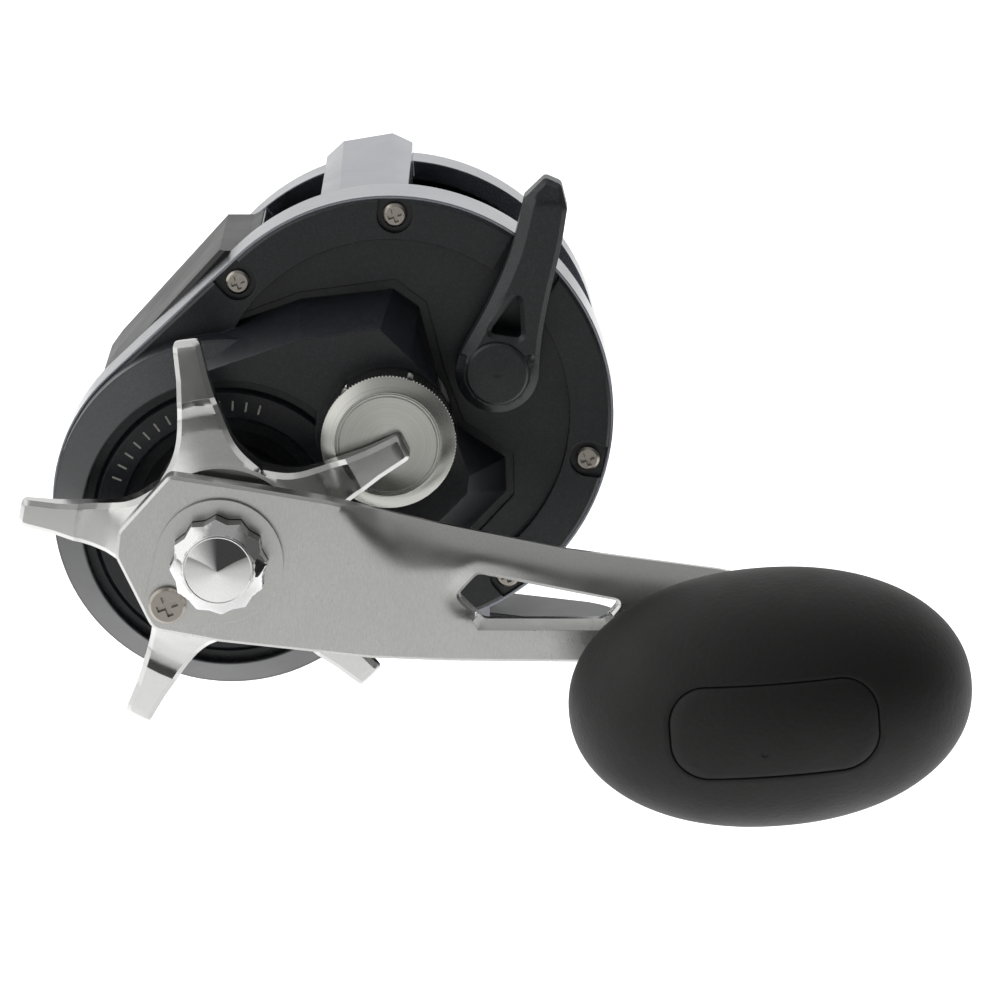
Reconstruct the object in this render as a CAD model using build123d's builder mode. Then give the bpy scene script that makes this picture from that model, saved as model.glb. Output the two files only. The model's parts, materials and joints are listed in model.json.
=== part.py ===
from build123d import *
import math
import os

# Trolling reel, millimetres. +X points to the rod tip, the handle is on the -Y side and +Z is up.
# The origin is the centre of the foot's underside. Most pieces are described by a place, which is
# (forward, up) from the spool axis, and by heights from the rim face of the handle side plate,
# positive towards the handle.

# Body
axis_height = 45.0
rim_y = -27.0
plate_radius = 38.6
rim_lip = 0.5
housing_radius = 31.1
ring_back = -11.5
web_top = -9.4
spool_opening = 33.2
chamber_radius = 29.0
left_radius = 36.5
left_ring_front = -44.0
left_ring_back = -52.0
bar_inner = 33.5
bar_outer = 36.2

# Places of the axes
spool_at = (0.0, 0.0)
drive_at = (-27.9, -16.1)
lever_at = (18.4, 9.0)
grip_at = (63.6, -33.0)

# Gear train
drive_teeth = 63
pinion_teeth = 10
centre_distance = math.hypot(*drive_at)
gear_module = 2 * centre_distance / (drive_teeth + pinion_teeth)
mesh_angle = math.degrees(math.atan2(-drive_at[1], -drive_at[0]))
gear_low = -5.6
gear_high = -0.6

# Fits
running = 0.05
clutch_throw = 2.4

# Shaft sizes
shaft_radius = 4.0
shaft_flats = 6.4
spool_shaft_radius = 1.95

# Handle side
cover_top = 12.5
recess_depth = 1.6
groove_floor = 2.2
well_radius = 25.0
arm_low = 34.0
arm_high = 38.0
star_tip_radius = 35.3
grip_height = 60.5
grip_half_length = 33.2
grip_half_width = 21.3
grip_tilt = 4.5

side_screws = [(0.8, 35.2), (-26.3, 23.4), (34.1, -7.8), (20.2, -28.8), (2.4, -35.2)]
os.makedirs("parts", exist_ok=True)


def face_at(place, height):
    """A plane across the spool axis, facing the handle, with X forward and Y up."""
    origin = (place[0], rim_y - height, axis_height + place[1])
    return Plane(origin=origin, x_dir=(1, 0, 0), z_dir=(0, -1, 0))


def axis_at(place):
    """A line along the spool axis direction, pointing to the handle."""
    return Axis((place[0], rim_y, axis_height + place[1]), (0, -1, 0))


def turn(place, outline, mode=Mode.ADD):
    """Revolve an outline of (radius, height) points about the axis at a place."""
    origin = (place[0], rim_y, axis_height + place[1])
    with BuildSketch(Plane(origin=origin, x_dir=(1, 0, 0), z_dir=(0, 0, -1))) as profile:
        with BuildLine():
            Polyline(*outline, close=True)
        make_face()
    revolve(profile.sketch, axis=axis_at(place), mode=mode)


def disc(place, radius, low, high, mode=Mode.ADD):
    """A round of one radius between two heights."""
    with BuildSketch(face_at(place, low)) as profile:
        Circle(radius)
    extrude(profile.sketch, amount=high - low, mode=mode)


def slab(outline, low, high, mode=Mode.ADD, corner=0.0):
    """A flat piece with a straight-sided outline about the spool axis, between two heights."""
    with BuildSketch(face_at(spool_at, low)) as profile:
        with BuildLine():
            Polyline(*outline, close=True)
        make_face()
        if corner:
            fillet(profile.vertices(), corner)
    extrude(profile.sketch, amount=high - low, mode=mode)


def egg(big, small, low, high, mode=Mode.ADD):
    """The outline round the spool axis and the drive axis, joined by tangents."""
    with BuildSketch(face_at(spool_at, low)) as profile:
        Circle(big)
        with Locations(drive_at):
            Circle(small)
        make_hull()
    extrude(profile.sketch, amount=high - low, mode=mode)


def link(start, end, start_radius, end_radius, low, high, mode=Mode.ADD):
    """A flat link with round ends."""
    with BuildSketch(face_at(spool_at, low)) as profile:
        with Locations(start):
            Circle(start_radius)
        with Locations(end):
            Circle(end_radius)
        make_hull()
    extrude(profile.sketch, amount=high - low, mode=mode)


def sector(inner, outer, start, end, low, high, mode=Mode.ADD):
    """Part of a ring round the spool axis, between two angles in degrees."""
    with BuildSketch(face_at(spool_at, low)) as profile:
        with BuildLine():
            CenterArc((0, 0), outer, start, end - start)
            CenterArc((0, 0), inner, start, end - start)
            Line(polar(inner, start), polar(outer, start))
            Line(polar(inner, end), polar(outer, end))
        make_face()
    extrude(profile.sketch, amount=high - low, mode=mode)


def polar(radius, angle, centre=(0.0, 0.0)):
    """The point at a radius and an angle in degrees from a centre."""
    turn_by = math.radians(angle)
    return (centre[0] + radius * math.cos(turn_by), centre[1] + radius * math.sin(turn_by))


def keyed_hole(place, low, high):
    """A hole with two flats, which a keyed shaft drives."""
    with BuildSketch(face_at(place, low)) as profile:
        Circle(shaft_radius + running)
        Rectangle(2 * shaft_radius + 2, shaft_flats + 2 * running, mode=Mode.INTERSECT)
    extrude(profile.sketch, amount=high - low, mode=Mode.SUBTRACT)


def bearing(place, inner, outer, low, high):
    """A shielded ball bearing, with its two races and the shields set back between them."""
    step = (outer - inner) * 0.28
    back = 0.25
    outline = [
        (inner, low), (inner + step, low), (inner + step, low + back), (outer - step, low + back),
        (outer - step, low), (outer, low), (outer, high), (outer - step, high),
        (outer - step, high - back), (inner + step, high - back), (inner + step, high), (inner, high),
    ]
    turn(place, outline)


def tooth_outline(teeth, tip, root, first_angle, backlash=0.10):
    """Involute teeth as one closed outline, with a tooth centred on first_angle."""
    pitch = gear_module * teeth / 2
    pressure = math.radians(20)
    base = pitch * math.cos(pressure)
    half = math.pi / (2 * teeth) - backlash / (2 * pitch)
    spread = half + math.tan(pressure) - pressure
    steps = 5
    points = []
    for tooth in range(teeth):
        middle = math.radians(first_angle) + 2 * math.pi * tooth / teeth
        flank = []
        for step in range(steps):
            radius = max(base, root) + (tip - max(base, root)) * step / (steps - 1)
            roll = math.acos(min(1.0, base / radius))
            flank.append((radius, spread - (math.tan(roll) - roll)))
        if root < base:
            flank.insert(0, (root, flank[0][1]))
        for radius, offset in flank:
            points.append((radius * math.cos(middle - offset), radius * math.sin(middle - offset)))
        for radius, offset in reversed(flank):
            points.append((radius * math.cos(middle + offset), radius * math.sin(middle + offset)))
    return points


def toothed(place, outline, low, high, mode=Mode.ADD):
    """A toothed wheel between two heights."""
    with BuildSketch(face_at(place, low)) as profile:
        with BuildLine():
            Polyline(*outline, close=True)
        make_face()
    extrude(profile.sketch, amount=high - low, mode=mode)


def screw(place, head, shank, seat, top, tip):
    """A round-headed screw with a cross recess."""
    crown = (top - seat) * 0.35
    turn(place, [(0, tip), (shank, tip), (shank, seat), (head, seat), (head, top - crown),
                 (head - crown, top), (0, top)])
    with BuildSketch(face_at(place, top)) as cross:
        Rectangle(head * 1.15, head * 0.34, rotation=20)
        Rectangle(head * 0.34, head * 1.15, rotation=20)
    extrude(cross.sketch, amount=-(top - seat) * 0.6, mode=Mode.SUBTRACT)


def coil(place, radius, wire, low, high, turns):
    """A round-wire compression spring."""
    origin = (place[0], rim_y - low - wire, axis_height + place[1])
    rise = high - low - 2 * wire
    with BuildLine() as path:
        Helix(rise / turns, rise, radius, center=origin, direction=(0, -1, 0))
    with BuildSketch(Plane(origin=path.line @ 0, z_dir=path.line % 0)) as section:
        Circle(wire)
    sweep(section.sketch, path=path.line, is_frenet=True)


def taper(low_outline, high_outline, low, high):
    """A flat-sided piece from one outline to another with as many corners, between two heights."""
    ends = []
    for outline, height in ((low_outline, low), (high_outline, high)):
        with BuildSketch(face_at(spool_at, height)) as end:
            with BuildLine():
                Polyline(*outline, close=True)
            make_face()
        ends.append(end.sketch.face())
    loft(ends, ruled=True)


def save(piece, name):
    """Label a finished piece and write its STEP file."""
    piece.part.label = name
    export_step(piece.part, f"parts/{name}.step")


# Frame: one casting with the handle-side ring and gear chamber, the left ring and the bars
bar_spans = [(130, 170), (181, 194), (246, 294), (316, 328)]
near_bar = [(-12.6, 32.2), (-12.3, 36.5), (-9.0, 37.5), (-0.6, 38.5), (2.9, 38.4), (3.2, 33.6)]
far_bar = [(-12.6, 32.2), (-12.5, 36.0), (-9.5, 38.8), (-0.7, 40.3), (2.9, 38.6), (3.2, 33.6)]
foot_seat = 4.2
pedestal_half = 17.0

with BuildPart() as frame:
    egg(plate_radius, housing_radius, ring_back, -rim_lip)
    egg(plate_radius - rim_lip, housing_radius - rim_lip, -2.4, 0, mode=Mode.SUBTRACT)
    disc(drive_at, chamber_radius, web_top, 0, mode=Mode.SUBTRACT)
    disc(spool_at, spool_opening, ring_back, 0, mode=Mode.SUBTRACT)
    disc(drive_at, 7.6, ring_back, 0, mode=Mode.SUBTRACT)
    disc(spool_at, left_radius, left_ring_back, left_ring_front)
    disc(spool_at, 33.0, left_ring_back, left_ring_front, mode=Mode.SUBTRACT)
    for first, last in bar_spans:
        sector(bar_inner, bar_outer, first, last, left_ring_front - 1, ring_back + 1)
    taper(far_bar, near_bar, left_ring_front - 6, ring_back + 1)
    disc(spool_at, bar_inner - 0.3, left_ring_back, ring_back + 1, mode=Mode.SUBTRACT)
    with BuildSketch(face_at(spool_at, -39)) as pedestal:
        with Locations((0, foot_seat - axis_height + 8)):
            Rectangle(2 * pedestal_half, 16)
        Circle(34.4, mode=Mode.SUBTRACT)
    extrude(amount=24)
    for place in side_screws:
        disc(place, 1.25, -9.0, 0, mode=Mode.SUBTRACT)
    for angle in (130, 200, 270):
        disc(polar(26.3, angle, drive_at), 1.05, ring_back, 0, mode=Mode.SUBTRACT)
    with Locations(Plane.XY.offset(foot_seat)):
        with Locations((-11, 0), (11, 0)):
            Cylinder(1.45, 5.6, align=(Align.CENTER, Align.CENTER, Align.MIN), mode=Mode.SUBTRACT)
save(frame, "frame")

# Palm rest clipped over the rear bar
with BuildPart() as palm_rest:
    rest_outline = [(-51.8, -2.0), (-51.4, 2.5), (-49.4, 5.3), (-30.1, 26.6), (-25.4, 26.6), (-23.6, 27.6),
                    (-15.0, 20.0), (-30.0, -2.0)]
    slab(rest_outline, left_ring_front + 0.1, ring_back - 0.1)
    disc(spool_at, bar_outer + 0.05, left_ring_front, ring_back, mode=Mode.SUBTRACT)
    rest_rim = palm_rest.edges().filter_by(GeomType.LINE).group_by(Axis.Y)
    chamfer(rest_rim[0].sort_by(Axis.X)[0:4], 0.8)
save(palm_rest, "palm_rest")

# Foot: a flat saddle with two tapered tongues, under the frame's pedestal
foot_half = 41.0
with BuildPart() as reel_foot:
    with BuildSketch(Plane.XZ.offset(-7.5)) as foot_side:
        with BuildLine():
            Polyline((-foot_half, 0), (foot_half, 0), (foot_half, 1.4), (pedestal_half, foot_seat),
                     (-pedestal_half, foot_seat), (-foot_half, 1.4), close=True)
        make_face()
    extrude(amount=15)
    with BuildSketch(Plane.XY) as foot_plan:
        SlotOverall(2 * foot_half, 15)
    extrude(amount=foot_seat, mode=Mode.INTERSECT)
    with Locations((-11, 0, 0), (11, 0, 0)):
        CounterSinkHole(1.5, 3.0, depth=foot_seat)
save(reel_foot, "reel_foot")

with BuildPart() as foot_screws:
    for x in (-11, 11):
        with Locations((x, 0, 0.15)):
            Cone(2.85, 1.35, 1.5, align=(Align.CENTER, Align.CENTER, Align.MIN))
            Cylinder(1.35, 9.2, align=(Align.CENTER, Align.CENTER, Align.MIN))
            Box(3.4, 0.7, 0.8, align=(Align.CENTER, Align.CENTER, Align.MIN), mode=Mode.SUBTRACT)
save(foot_screws, "foot_screws")

# Handle side plate: rim, sunk face, raised gear cover with its stepped well, and the bearing seats
cover_base = [(-38.0, 8.0), (-32.1, 15.2), (-15.7, 21.4), (0.8, 23.7), (6.2, 19.6), (9.3, 7.5), (12.6, -1.5),
              (21.2, -7.2), (21.4, -14.5), (15.0, -21.5), (-4.0, -36.0), (-27.0, -40.0)]
cover_face = [(-36.0, 5.0), (-31.4, 10.5), (-15.2, 16.1), (-1.5, 18.0), (3.8, 12.8), (8.6, 6.8), (11.4, -1.2),
              (13.7, -7.8), (13.4, -10.9), (8.6, -15.8), (-8.0, -30.0), (-26.0, -36.0)]
cover_foot = [(-37.0, 7.0), (-31.9, 14.2), (-15.6, 20.1), (0.4, 21.9), (4.8, 18.8), (7.9, 6.9), (11.5, -2.6),
              (19.8, -8.0), (20.0, -14.0), (14.0, -20.4), (-4.4, -34.6), (-26.8, -38.8)]
inner_top = 8.4
post_reach = 12.2
yoke_angle = mesh_angle + 90
post_places = [polar(post_reach, yoke_angle), polar(-post_reach, yoke_angle)]
lever_notch = [(17.6, 25.4), (22.2, 33.6), (31.4, 28.2), (25.6, 18.2)]

with BuildPart() as right_side_plate:
    egg(plate_radius - rim_lip - 0.02, housing_radius - rim_lip - 0.02, -2.35, 0)
    chamfer(right_side_plate.faces().sort_by(Axis.Y)[0].edges(), 0.45)
    disc(spool_at, spool_opening - 0.15, -3.0, -2.3)
    disc(drive_at, chamber_radius - 0.15, -3.0, -2.3)
    disc(spool_at, 31.0, -recess_depth, 0, mode=Mode.SUBTRACT)
    slab(lever_notch, -recess_depth, 0, mode=Mode.SUBTRACT)
    # a narrow groove round the foot of the gear cover, then the cover and its round lobe
    with BuildSketch(face_at(spool_at, -groove_floor)) as groove:
        with BuildLine():
            Polyline(*cover_base, close=True)
        make_face()
        Circle(30.9, mode=Mode.INTERSECT)
    extrude(amount=groove_floor, mode=Mode.SUBTRACT)
    taper(cover_foot, cover_face, -groove_floor, cover_top)
    lobe = housing_radius - rim_lip - 0.02
    turn(drive_at, [(0, -groove_floor), (lobe, -groove_floor), (lobe, 4.8), (lobe - 0.4, 5.3), (25.4, 12.3),
                    (25.2, cover_top), (0, cover_top)])
    # the stepped well round the drive shaft, kept clear of the seat of the cast control knob
    with BuildSketch(face_at(drive_at, 10.4)) as well:
        Circle(well_radius)
        with Locations((-drive_at[0], -drive_at[1])):
            Circle(12.6, mode=Mode.SUBTRACT)
    extrude(amount=3, mode=Mode.SUBTRACT)
    turn(drive_at, [(17.6, 10.2), (23.6, 10.2), (22.6, 11.3), (18.4, 11.3)])
    disc(drive_at, 17.6, 8.5, cover_top, mode=Mode.SUBTRACT)
    disc(drive_at, 15.5, 5.6, cover_top, mode=Mode.SUBTRACT)
    disc(drive_at, 12.4, 5.5, 11.8)
    # the hollow inside the gear cover
    hollow = [(0, -3.1), (chamber_radius - 0.3, -3.1), (chamber_radius - 0.3, 0), (28.0, 3.8), (26.2, 7.6),
              (24.2, 8.4), (19.8, 8.4), (19.8, 6.6), (17.3, 6.6), (17.3, 3.6), (0, 3.6)]
    turn(drive_at, hollow, mode=Mode.SUBTRACT)
    disc(spool_at, 9.2, -3.1, inner_top, mode=Mode.SUBTRACT)
    disc(spool_at, 10.3, -3.1, 4.2, mode=Mode.SUBTRACT)
    link(*post_places, 3.8, 3.8, -3.1, 7.6, mode=Mode.SUBTRACT)
    # seats on the spool axis
    disc(spool_at, 8.6, cover_top - 0.1, 17.3)
    disc(spool_at, 3.4, 0, 20, mode=Mode.SUBTRACT)
    disc(spool_at, 4.52, 9.2, 20, mode=Mode.SUBTRACT)
    turn(spool_at, [(7.8, 14.0), (9.0, 14.0), (9.0, 15.0), (7.8, 15.0)], mode=Mode.SUBTRACT)
    # seats on the drive axis
    disc(drive_at, 10.52, 0, 11.2, mode=Mode.SUBTRACT)
    disc(drive_at, 8.0, 0, 20, mode=Mode.SUBTRACT)
    # bush for the lever shaft
    disc(lever_at, 5.4, -3.4, -0.2)
    disc(lever_at, 3.0, -4, 1, mode=Mode.SUBTRACT)
    # screw pockets, open to the rim
    for place in side_screws:
        outward = math.degrees(math.atan2(place[1], place[0]))
        link(place, polar(40.5, outward), 3.1, 2.5, -1.2, 0.1, mode=Mode.SUBTRACT)
        disc(place, 1.5, -4, 1, mode=Mode.SUBTRACT)
save(right_side_plate, "right_side_plate")

with BuildPart() as side_plate_screws:
    for place in side_screws:
        screw(place, 2.1, 1.2, -1.18, 0.05, -8.6)
save(side_plate_screws, "side_plate_screws")

# Bridge plate behind the gears
standoffs = [(24.0, -12.0), (4.0, 26.0)]
bridge_low = web_top
bridge_high = -7.8
with BuildPart() as bridge_plate:
    with BuildSketch(face_at(spool_at, bridge_low)):
        Circle(spool_opening - 0.3)
        with Locations(drive_at):
            Circle(chamber_radius - 0.3)
        with Locations((14, 20), (20, -22), (-2, -24)):
            Circle(5, mode=Mode.SUBTRACT)
    extrude(amount=bridge_high - bridge_low)
    disc(drive_at, 7.4, -11.3, -7.45)
    disc(drive_at, 6.02, -11.0, -7, mode=Mode.SUBTRACT)
    disc(drive_at, 4.5, -12, -7, mode=Mode.SUBTRACT)
    disc(spool_at, 9.2, -10.8, bridge_low)
    for place in standoffs:
        disc(place, 2.6, bridge_high - 0.1, -3.05)
    sector(5.5, 8.4, mesh_angle - 110, mesh_angle + 110, bridge_high - 0.1, -4.98)
    sector(5.5, 6.92, mesh_angle - 110, mesh_angle + 110, bridge_high - 0.1, -3.4)
    disc(spool_at, 8.02, -10.6, -7.6, mode=Mode.SUBTRACT)
    disc(spool_at, 7.0, -12, -7, mode=Mode.SUBTRACT)
    for angle in (130, 200, 270):
        disc(polar(26.3, angle, drive_at), 1.15, -12, -7, mode=Mode.SUBTRACT)
save(bridge_plate, "bridge_plate")

with BuildPart() as bridge_screws:
    for angle in (130, 200, 270):
        screw(polar(26.3, angle, drive_at), 1.8, 1.0, bridge_high, -6.9, -11.4)
save(bridge_screws, "bridge_screws")

# Bearings
with BuildPart() as drive_bearing:
    bearing(drive_at, 3.0, 6.0, -10.98, -7.5)
save(drive_bearing, "drive_bearing")

with BuildPart() as pinion_bearing:
    bearing(spool_at, 5.26, 8.0, -10.58, -7.62)
save(pinion_bearing, "pinion_bearing")

with BuildPart() as right_spool_bearing:
    bearing(spool_at, 2.0, 4.5, 9.25, 13.2)
save(right_spool_bearing, "right_spool_bearing")

with BuildPart() as left_spool_bearing:
    bearing(spool_at, 2.0, 5.5, -50.4, -46.6)
save(left_spool_bearing, "left_spool_bearing")

# One-way roller clutch and its seal, round the drive sleeve
with BuildPart() as roller_clutch:
    turn(drive_at, [(8.2, 4.0), (10.5, 4.0), (10.5, 10.9), (8.2, 10.9), (8.2, 10.2), (9.6, 10.2), (9.6, 4.8),
                    (8.2, 4.8)])
    for roller in range(8):
        disc(polar(8.28, 45 * roller, drive_at), 1.15, 4.8, 10.2)
save(roller_clutch, "roller_clutch")

with BuildPart() as shaft_seal:
    turn(drive_at, [(7.3, 11.25), (7.98, 11.25), (7.98, 11.75), (7.3, 11.75)])
save(shaft_seal, "shaft_seal")

# Drive shaft, with a journal, a shoulder, a keyed length and a threaded end
with BuildPart() as drive_shaft:
    turn(drive_at, [(0, -10.9), (2.6, -10.9), (2.95, -10.6), (2.95, -7.3), (6.5, -7.3), (6.5, -6.62),
                    (shaft_radius, -6.62), (shaft_radius, 38.6), (3.4, 38.6), (3.4, 39.9), (3.1, 40.2),
                    (0, 40.2)])
    with BuildSketch(face_at(drive_at, -6.6)):
        with Locations((0, 5 + shaft_flats / 2), (0, -5 - shaft_flats / 2)):
            Rectangle(12, 10)
    extrude(amount=60, mode=Mode.SUBTRACT)
save(drive_shaft, "drive_shaft")

# Anti-reverse ratchet on the shaft, and the pawl held clear of it
ratchet_teeth = 12
ratchet_tip = 12.0
ratchet_root = 10.3
ratchet_phase = -8.0
with BuildPart() as ratchet_wheel:
    ratchet_outline = []
    for tooth in range(ratchet_teeth):
        base_angle = ratchet_phase + 360 / ratchet_teeth * tooth
        ratchet_outline.append(polar(ratchet_root, base_angle))
        ratchet_outline.append(polar(ratchet_root + 0.1, base_angle + 12))
        ratchet_outline.append(polar(ratchet_tip, base_angle + 29))
    toothed(drive_at, ratchet_outline, -6.6, -5.42)
    keyed_hole(drive_at, -7, -5)
save(ratchet_wheel, "ratchet_wheel")

pawl_pin_at = polar(18.6, 262, drive_at)
with BuildPart() as pawl_pin:
    turn(pawl_pin_at, [(0, bridge_high), (1.2, bridge_high), (1.2, -6.72), (1.0, -6.72), (1.0, -5.72),
                       (0, -5.72)])
with BuildPart() as ratchet_pawl:
    link(pawl_pin_at, polar(13.2, 236, drive_at), 2.0, 0.7, -6.66, -5.78)
    disc(pawl_pin_at, 1.05, -8, -5, mode=Mode.SUBTRACT)
save(pawl_pin, "pawl_pin")
save(ratchet_pawl, "ratchet_pawl")

# Drive gear: a toothed cup that carries the drag washers
gear_tip = gear_module * (drive_teeth / 2 + 0.6)
gear_root = gear_module * (drive_teeth / 2 - 1.02)
stack_radius = 22.4
ear_angles = (0, 90, 180, 270)
with BuildPart() as drive_gear:
    toothed(drive_at, tooth_outline(drive_teeth, gear_tip, gear_root, mesh_angle), gear_low, gear_high)
    disc(drive_at, 23.4, -3.2, 0, mode=Mode.SUBTRACT)
    disc(drive_at, 23.4, -6, -4.7, mode=Mode.SUBTRACT)
    disc(drive_at, shaft_radius + 0.1, -6, 0, mode=Mode.SUBTRACT)
    for angle in ear_angles:
        link(drive_at, polar(24.6, angle, drive_at), 1.6, 1.6, -1.0, 0, mode=Mode.SUBTRACT)
save(drive_gear, "drive_gear")

with BuildPart() as carbon_washers:
    for low, outer in ((-5.4, 18.0), (-3.2, stack_radius), (-1.5, stack_radius), (0.2, stack_radius)):
        turn(drive_at, [(7.5, low), (outer, low), (outer, low + 0.7), (7.5, low + 0.7)])
save(carbon_washers, "carbon_washers")

with BuildPart() as keyed_washer:
    disc(drive_at, stack_radius, -2.5, -1.5)
    keyed_hole(drive_at, -3, 0)
save(keyed_washer, "keyed_washer")

with BuildPart() as eared_washer:
    with BuildSketch(face_at(drive_at, -0.8)):
        Circle(23.1)
        SlotOverall(51.8, 3.0)
        SlotOverall(51.8, 3.0, rotation=90)
        Circle(7.5, mode=Mode.SUBTRACT)
    extrude(amount=1.0)
save(eared_washer, "eared_washer")

with BuildPart() as pressure_plate:
    turn(drive_at, [(0, 0.9), (stack_radius, 0.9), (stack_radius, 1.7), (12.0, 2.3), (0, 2.3)])
    keyed_hole(drive_at, 0, 3)
save(pressure_plate, "pressure_plate")

with BuildPart() as drive_sleeve:
    disc(drive_at, 7.0, 2.3, 17.5)
    keyed_hole(drive_at, 2, 18)
save(drive_sleeve, "drive_sleeve")

with BuildPart() as spring_washers:
    for low, side in ((17.5, 1), (19.0, -1)):
        inside = low + (0.7 if side > 0 else 0)
        outside = low + (0 if side > 0 else 0.7)
        turn(drive_at, [(shaft_radius + 0.15, inside), (8.0, outside), (8.0, outside + 0.7),
                        (shaft_radius + 0.15, inside + 0.7)])
save(spring_washers, "spring_washers")

# Star drag: five arms on a dished hub, driven on its nut
arm_angles = [100.0 + 72 * arm for arm in range(5)]
nut_across = 13.0
with BuildPart() as star_drag:
    turn(drive_at, [(0, 19.6), (11.4, 19.6), (12.2, 25.0), (16.0, 24.4), (24.0, 22.6), (28.0, 22.3),
                    (34.9, 22.3), (star_tip_radius, 22.8), (star_tip_radius, 23.8), (34.5, 24.9),
                    (33.6, 25.3), (25.4, 27.0), (24.2, 26.5), (22.5, 26.4), (20.0, 27.0), (17.5, 28.6),
                    (15.4, 30.6), (14.9, 31.4), (14.4, 32.0), (0, 32.0)])
    with BuildSketch(face_at(drive_at, 15)) as star_plan:
        for angle in arm_angles:
            with BuildLine() as one_arm:
                neck_left = polar(17.5, angle + 17.5)
                neck_right = polar(17.5, angle - 17.5)
                tip_left = polar(star_tip_radius + 1, angle + 3.7)
                tip_right = polar(star_tip_radius + 1, angle - 3.7)
                root_left = polar(15.2, angle + 36)
                root_right = polar(15.2, angle - 36)
                Spline(root_left, neck_left, polar(24, angle + 8.4), tip_left,
                       tangents=[(root_left[1], -root_left[0]), (tip_left[0], tip_left[1])])
                Line(tip_left, tip_right)
                Spline(tip_right, polar(24, angle - 8.4), neck_right, root_right,
                       tangents=[(-tip_right[0], -tip_right[1]), (root_right[1], -root_right[0])])
                Line(root_right, (0, 0))
                Line((0, 0), root_left)
            make_face()
        Circle(14.9)
    extrude(amount=20, mode=Mode.INTERSECT)
    disc(drive_at, 5.4, 15, 33, mode=Mode.SUBTRACT)
    disc(drive_at, 8.3, 15, 20.5, mode=Mode.SUBTRACT)
    with BuildSketch(face_at(drive_at, 19)):
        RegularPolygon(nut_across / 2 + 0.02, 6, major_radius=False)
    extrude(amount=7.0, mode=Mode.SUBTRACT)
save(star_drag, "star_drag")

with BuildPart() as star_nut:
    with BuildSketch(face_at(drive_at, 20.6)):
        RegularPolygon(nut_across / 2, 6, major_radius=False)
        Circle(shaft_radius + running, mode=Mode.SUBTRACT)
    extrude(amount=5.2)
save(star_nut, "star_nut")

# Click spring and spacer between the star and the handle arm
with BuildPart() as star_click:
    turn(drive_at, [(6.4, 32.1), (10.6, 32.1), (10.6, 32.5), (6.4, 32.9)])
    for angle in (60, 180, 300):
        disc(polar(9.2, angle, drive_at), 0.9, 32.3, 33.6)
save(star_click, "star_click")

with BuildPart() as handle_spacer:
    disc(drive_at, 5.2, 26.2, arm_low)
    keyed_hole(drive_at, 26, 35)
save(handle_spacer, "handle_spacer")

# Handle arm: a flat hub, an arm with a sloping upper flank, and a window
arm_outline = [(-36.4, -1.4), (-44.8, -11.2), (-45.3, -15.6), (-39.4, -28.2), (-28.1, -30.3), (-15.4, -31.8),
               (-2.8, -33.2), (33.0, -33.9), (50.0, -38.5), (62.0, -43.5), (72.0, -38.0), (73.0, -28.0),
               (66.0, -20.2), (56.0, -18.3), (30.0, -14.8), (7.4, -10.1), (-9.4, -5.9), (-22.7, -3.7)]
window = [(11.6, -22.6), (14.9, -18.4), (39.6, -23.2), (36.8, -28.2), (15.9, -28.2)]
flank_start = -18.9
flank_drop = 2.6
with BuildPart() as handle_arm:
    with BuildSketch(face_at(spool_at, arm_low)) as arm_plan:
        with BuildLine():
            Polyline(*arm_outline, close=True)
        make_face()
        fillet(arm_plan.vertices(), 1.2)
        with Locations(grip_at):
            Circle(10.4)
    extrude(amount=arm_high - arm_low)
    # the upper flank falls away from the face, starting on a slanting line near the hub
    flank_y = rim_y - arm_high
    flank_z = axis_height + flank_start
    flank_plane = Plane(origin=(-8, flank_y, flank_z), x_dir=(0, 0, 1), z_dir=(1, 0, 0))
    with BuildSketch(flank_plane) as flank_low:
        with BuildLine():
            Polyline((-0.01, -0.02), (14, -0.02), (14, 0), close=True)
        make_face()
    flank_far = Plane(origin=(10, flank_y, flank_z), x_dir=(0, 0, 1), z_dir=(1, 0, 0))
    with BuildSketch(flank_far) as flank_high:
        with BuildLine():
            Polyline((0, -0.02), (9, -0.02), (9, flank_drop), close=True)
        make_face()
    loft([flank_low.sketch.face(), flank_high.sketch.face()], mode=Mode.SUBTRACT)
    extrude(flank_high.sketch, amount=50, mode=Mode.SUBTRACT)
    slab(window, arm_low - 1, arm_high + 1, mode=Mode.SUBTRACT, corner=1.0)
    keyed_hole(drive_at, arm_low - 1, arm_high + 1)
    disc(grip_at, 3.0, arm_low - 1, arm_high + 1, mode=Mode.SUBTRACT)
    disc((-36.7, -23.5), 1.25, arm_low + 0.5, arm_high + 1, mode=Mode.SUBTRACT)
save(handle_arm, "handle_arm")

# Handle nut with twelve points and a coned end, and its retainer
flange_outline = []
for point in range(12):
    flange_outline.append(polar(8.2, 30 * point + 3))
    flange_outline.append(polar(7.5, 30 * point + 18))
with BuildPart() as handle_nut:
    toothed(drive_at, flange_outline, arm_high + 0.02, 44.3)
    turn(drive_at, [(6.0, 44.3), (8.6, 42.15), (9.0, 42.15), (9.0, 45.0), (6.0, 45.0)], mode=Mode.SUBTRACT)
    turn(drive_at, [(0, 43.0), (6.0, 43.0), (6.0, 44.3), (5.6, 44.5), (0, 45.8)])
    disc(drive_at, 3.45, arm_high - 1, 40.5, mode=Mode.SUBTRACT)
    turn(drive_at, [(0, 37), (4.1, 37), (4.1, 38.7), (0, 38.7)], mode=Mode.SUBTRACT)
save(handle_nut, "handle_nut")

retainer_screw_at = (-36.7, -23.5)
with BuildPart() as nut_retainer:
    link(drive_at, retainer_screw_at, 10.7, 3.9, arm_high, arm_high + 0.8)
    clear_outline = [(x * 1.015, y * 1.015) for x, y in flange_outline]
    toothed(drive_at, clear_outline, arm_high - 1, 40, mode=Mode.SUBTRACT)
    disc(retainer_screw_at, 1.3, arm_high - 1, 40, mode=Mode.SUBTRACT)
save(nut_retainer, "nut_retainer")

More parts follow.
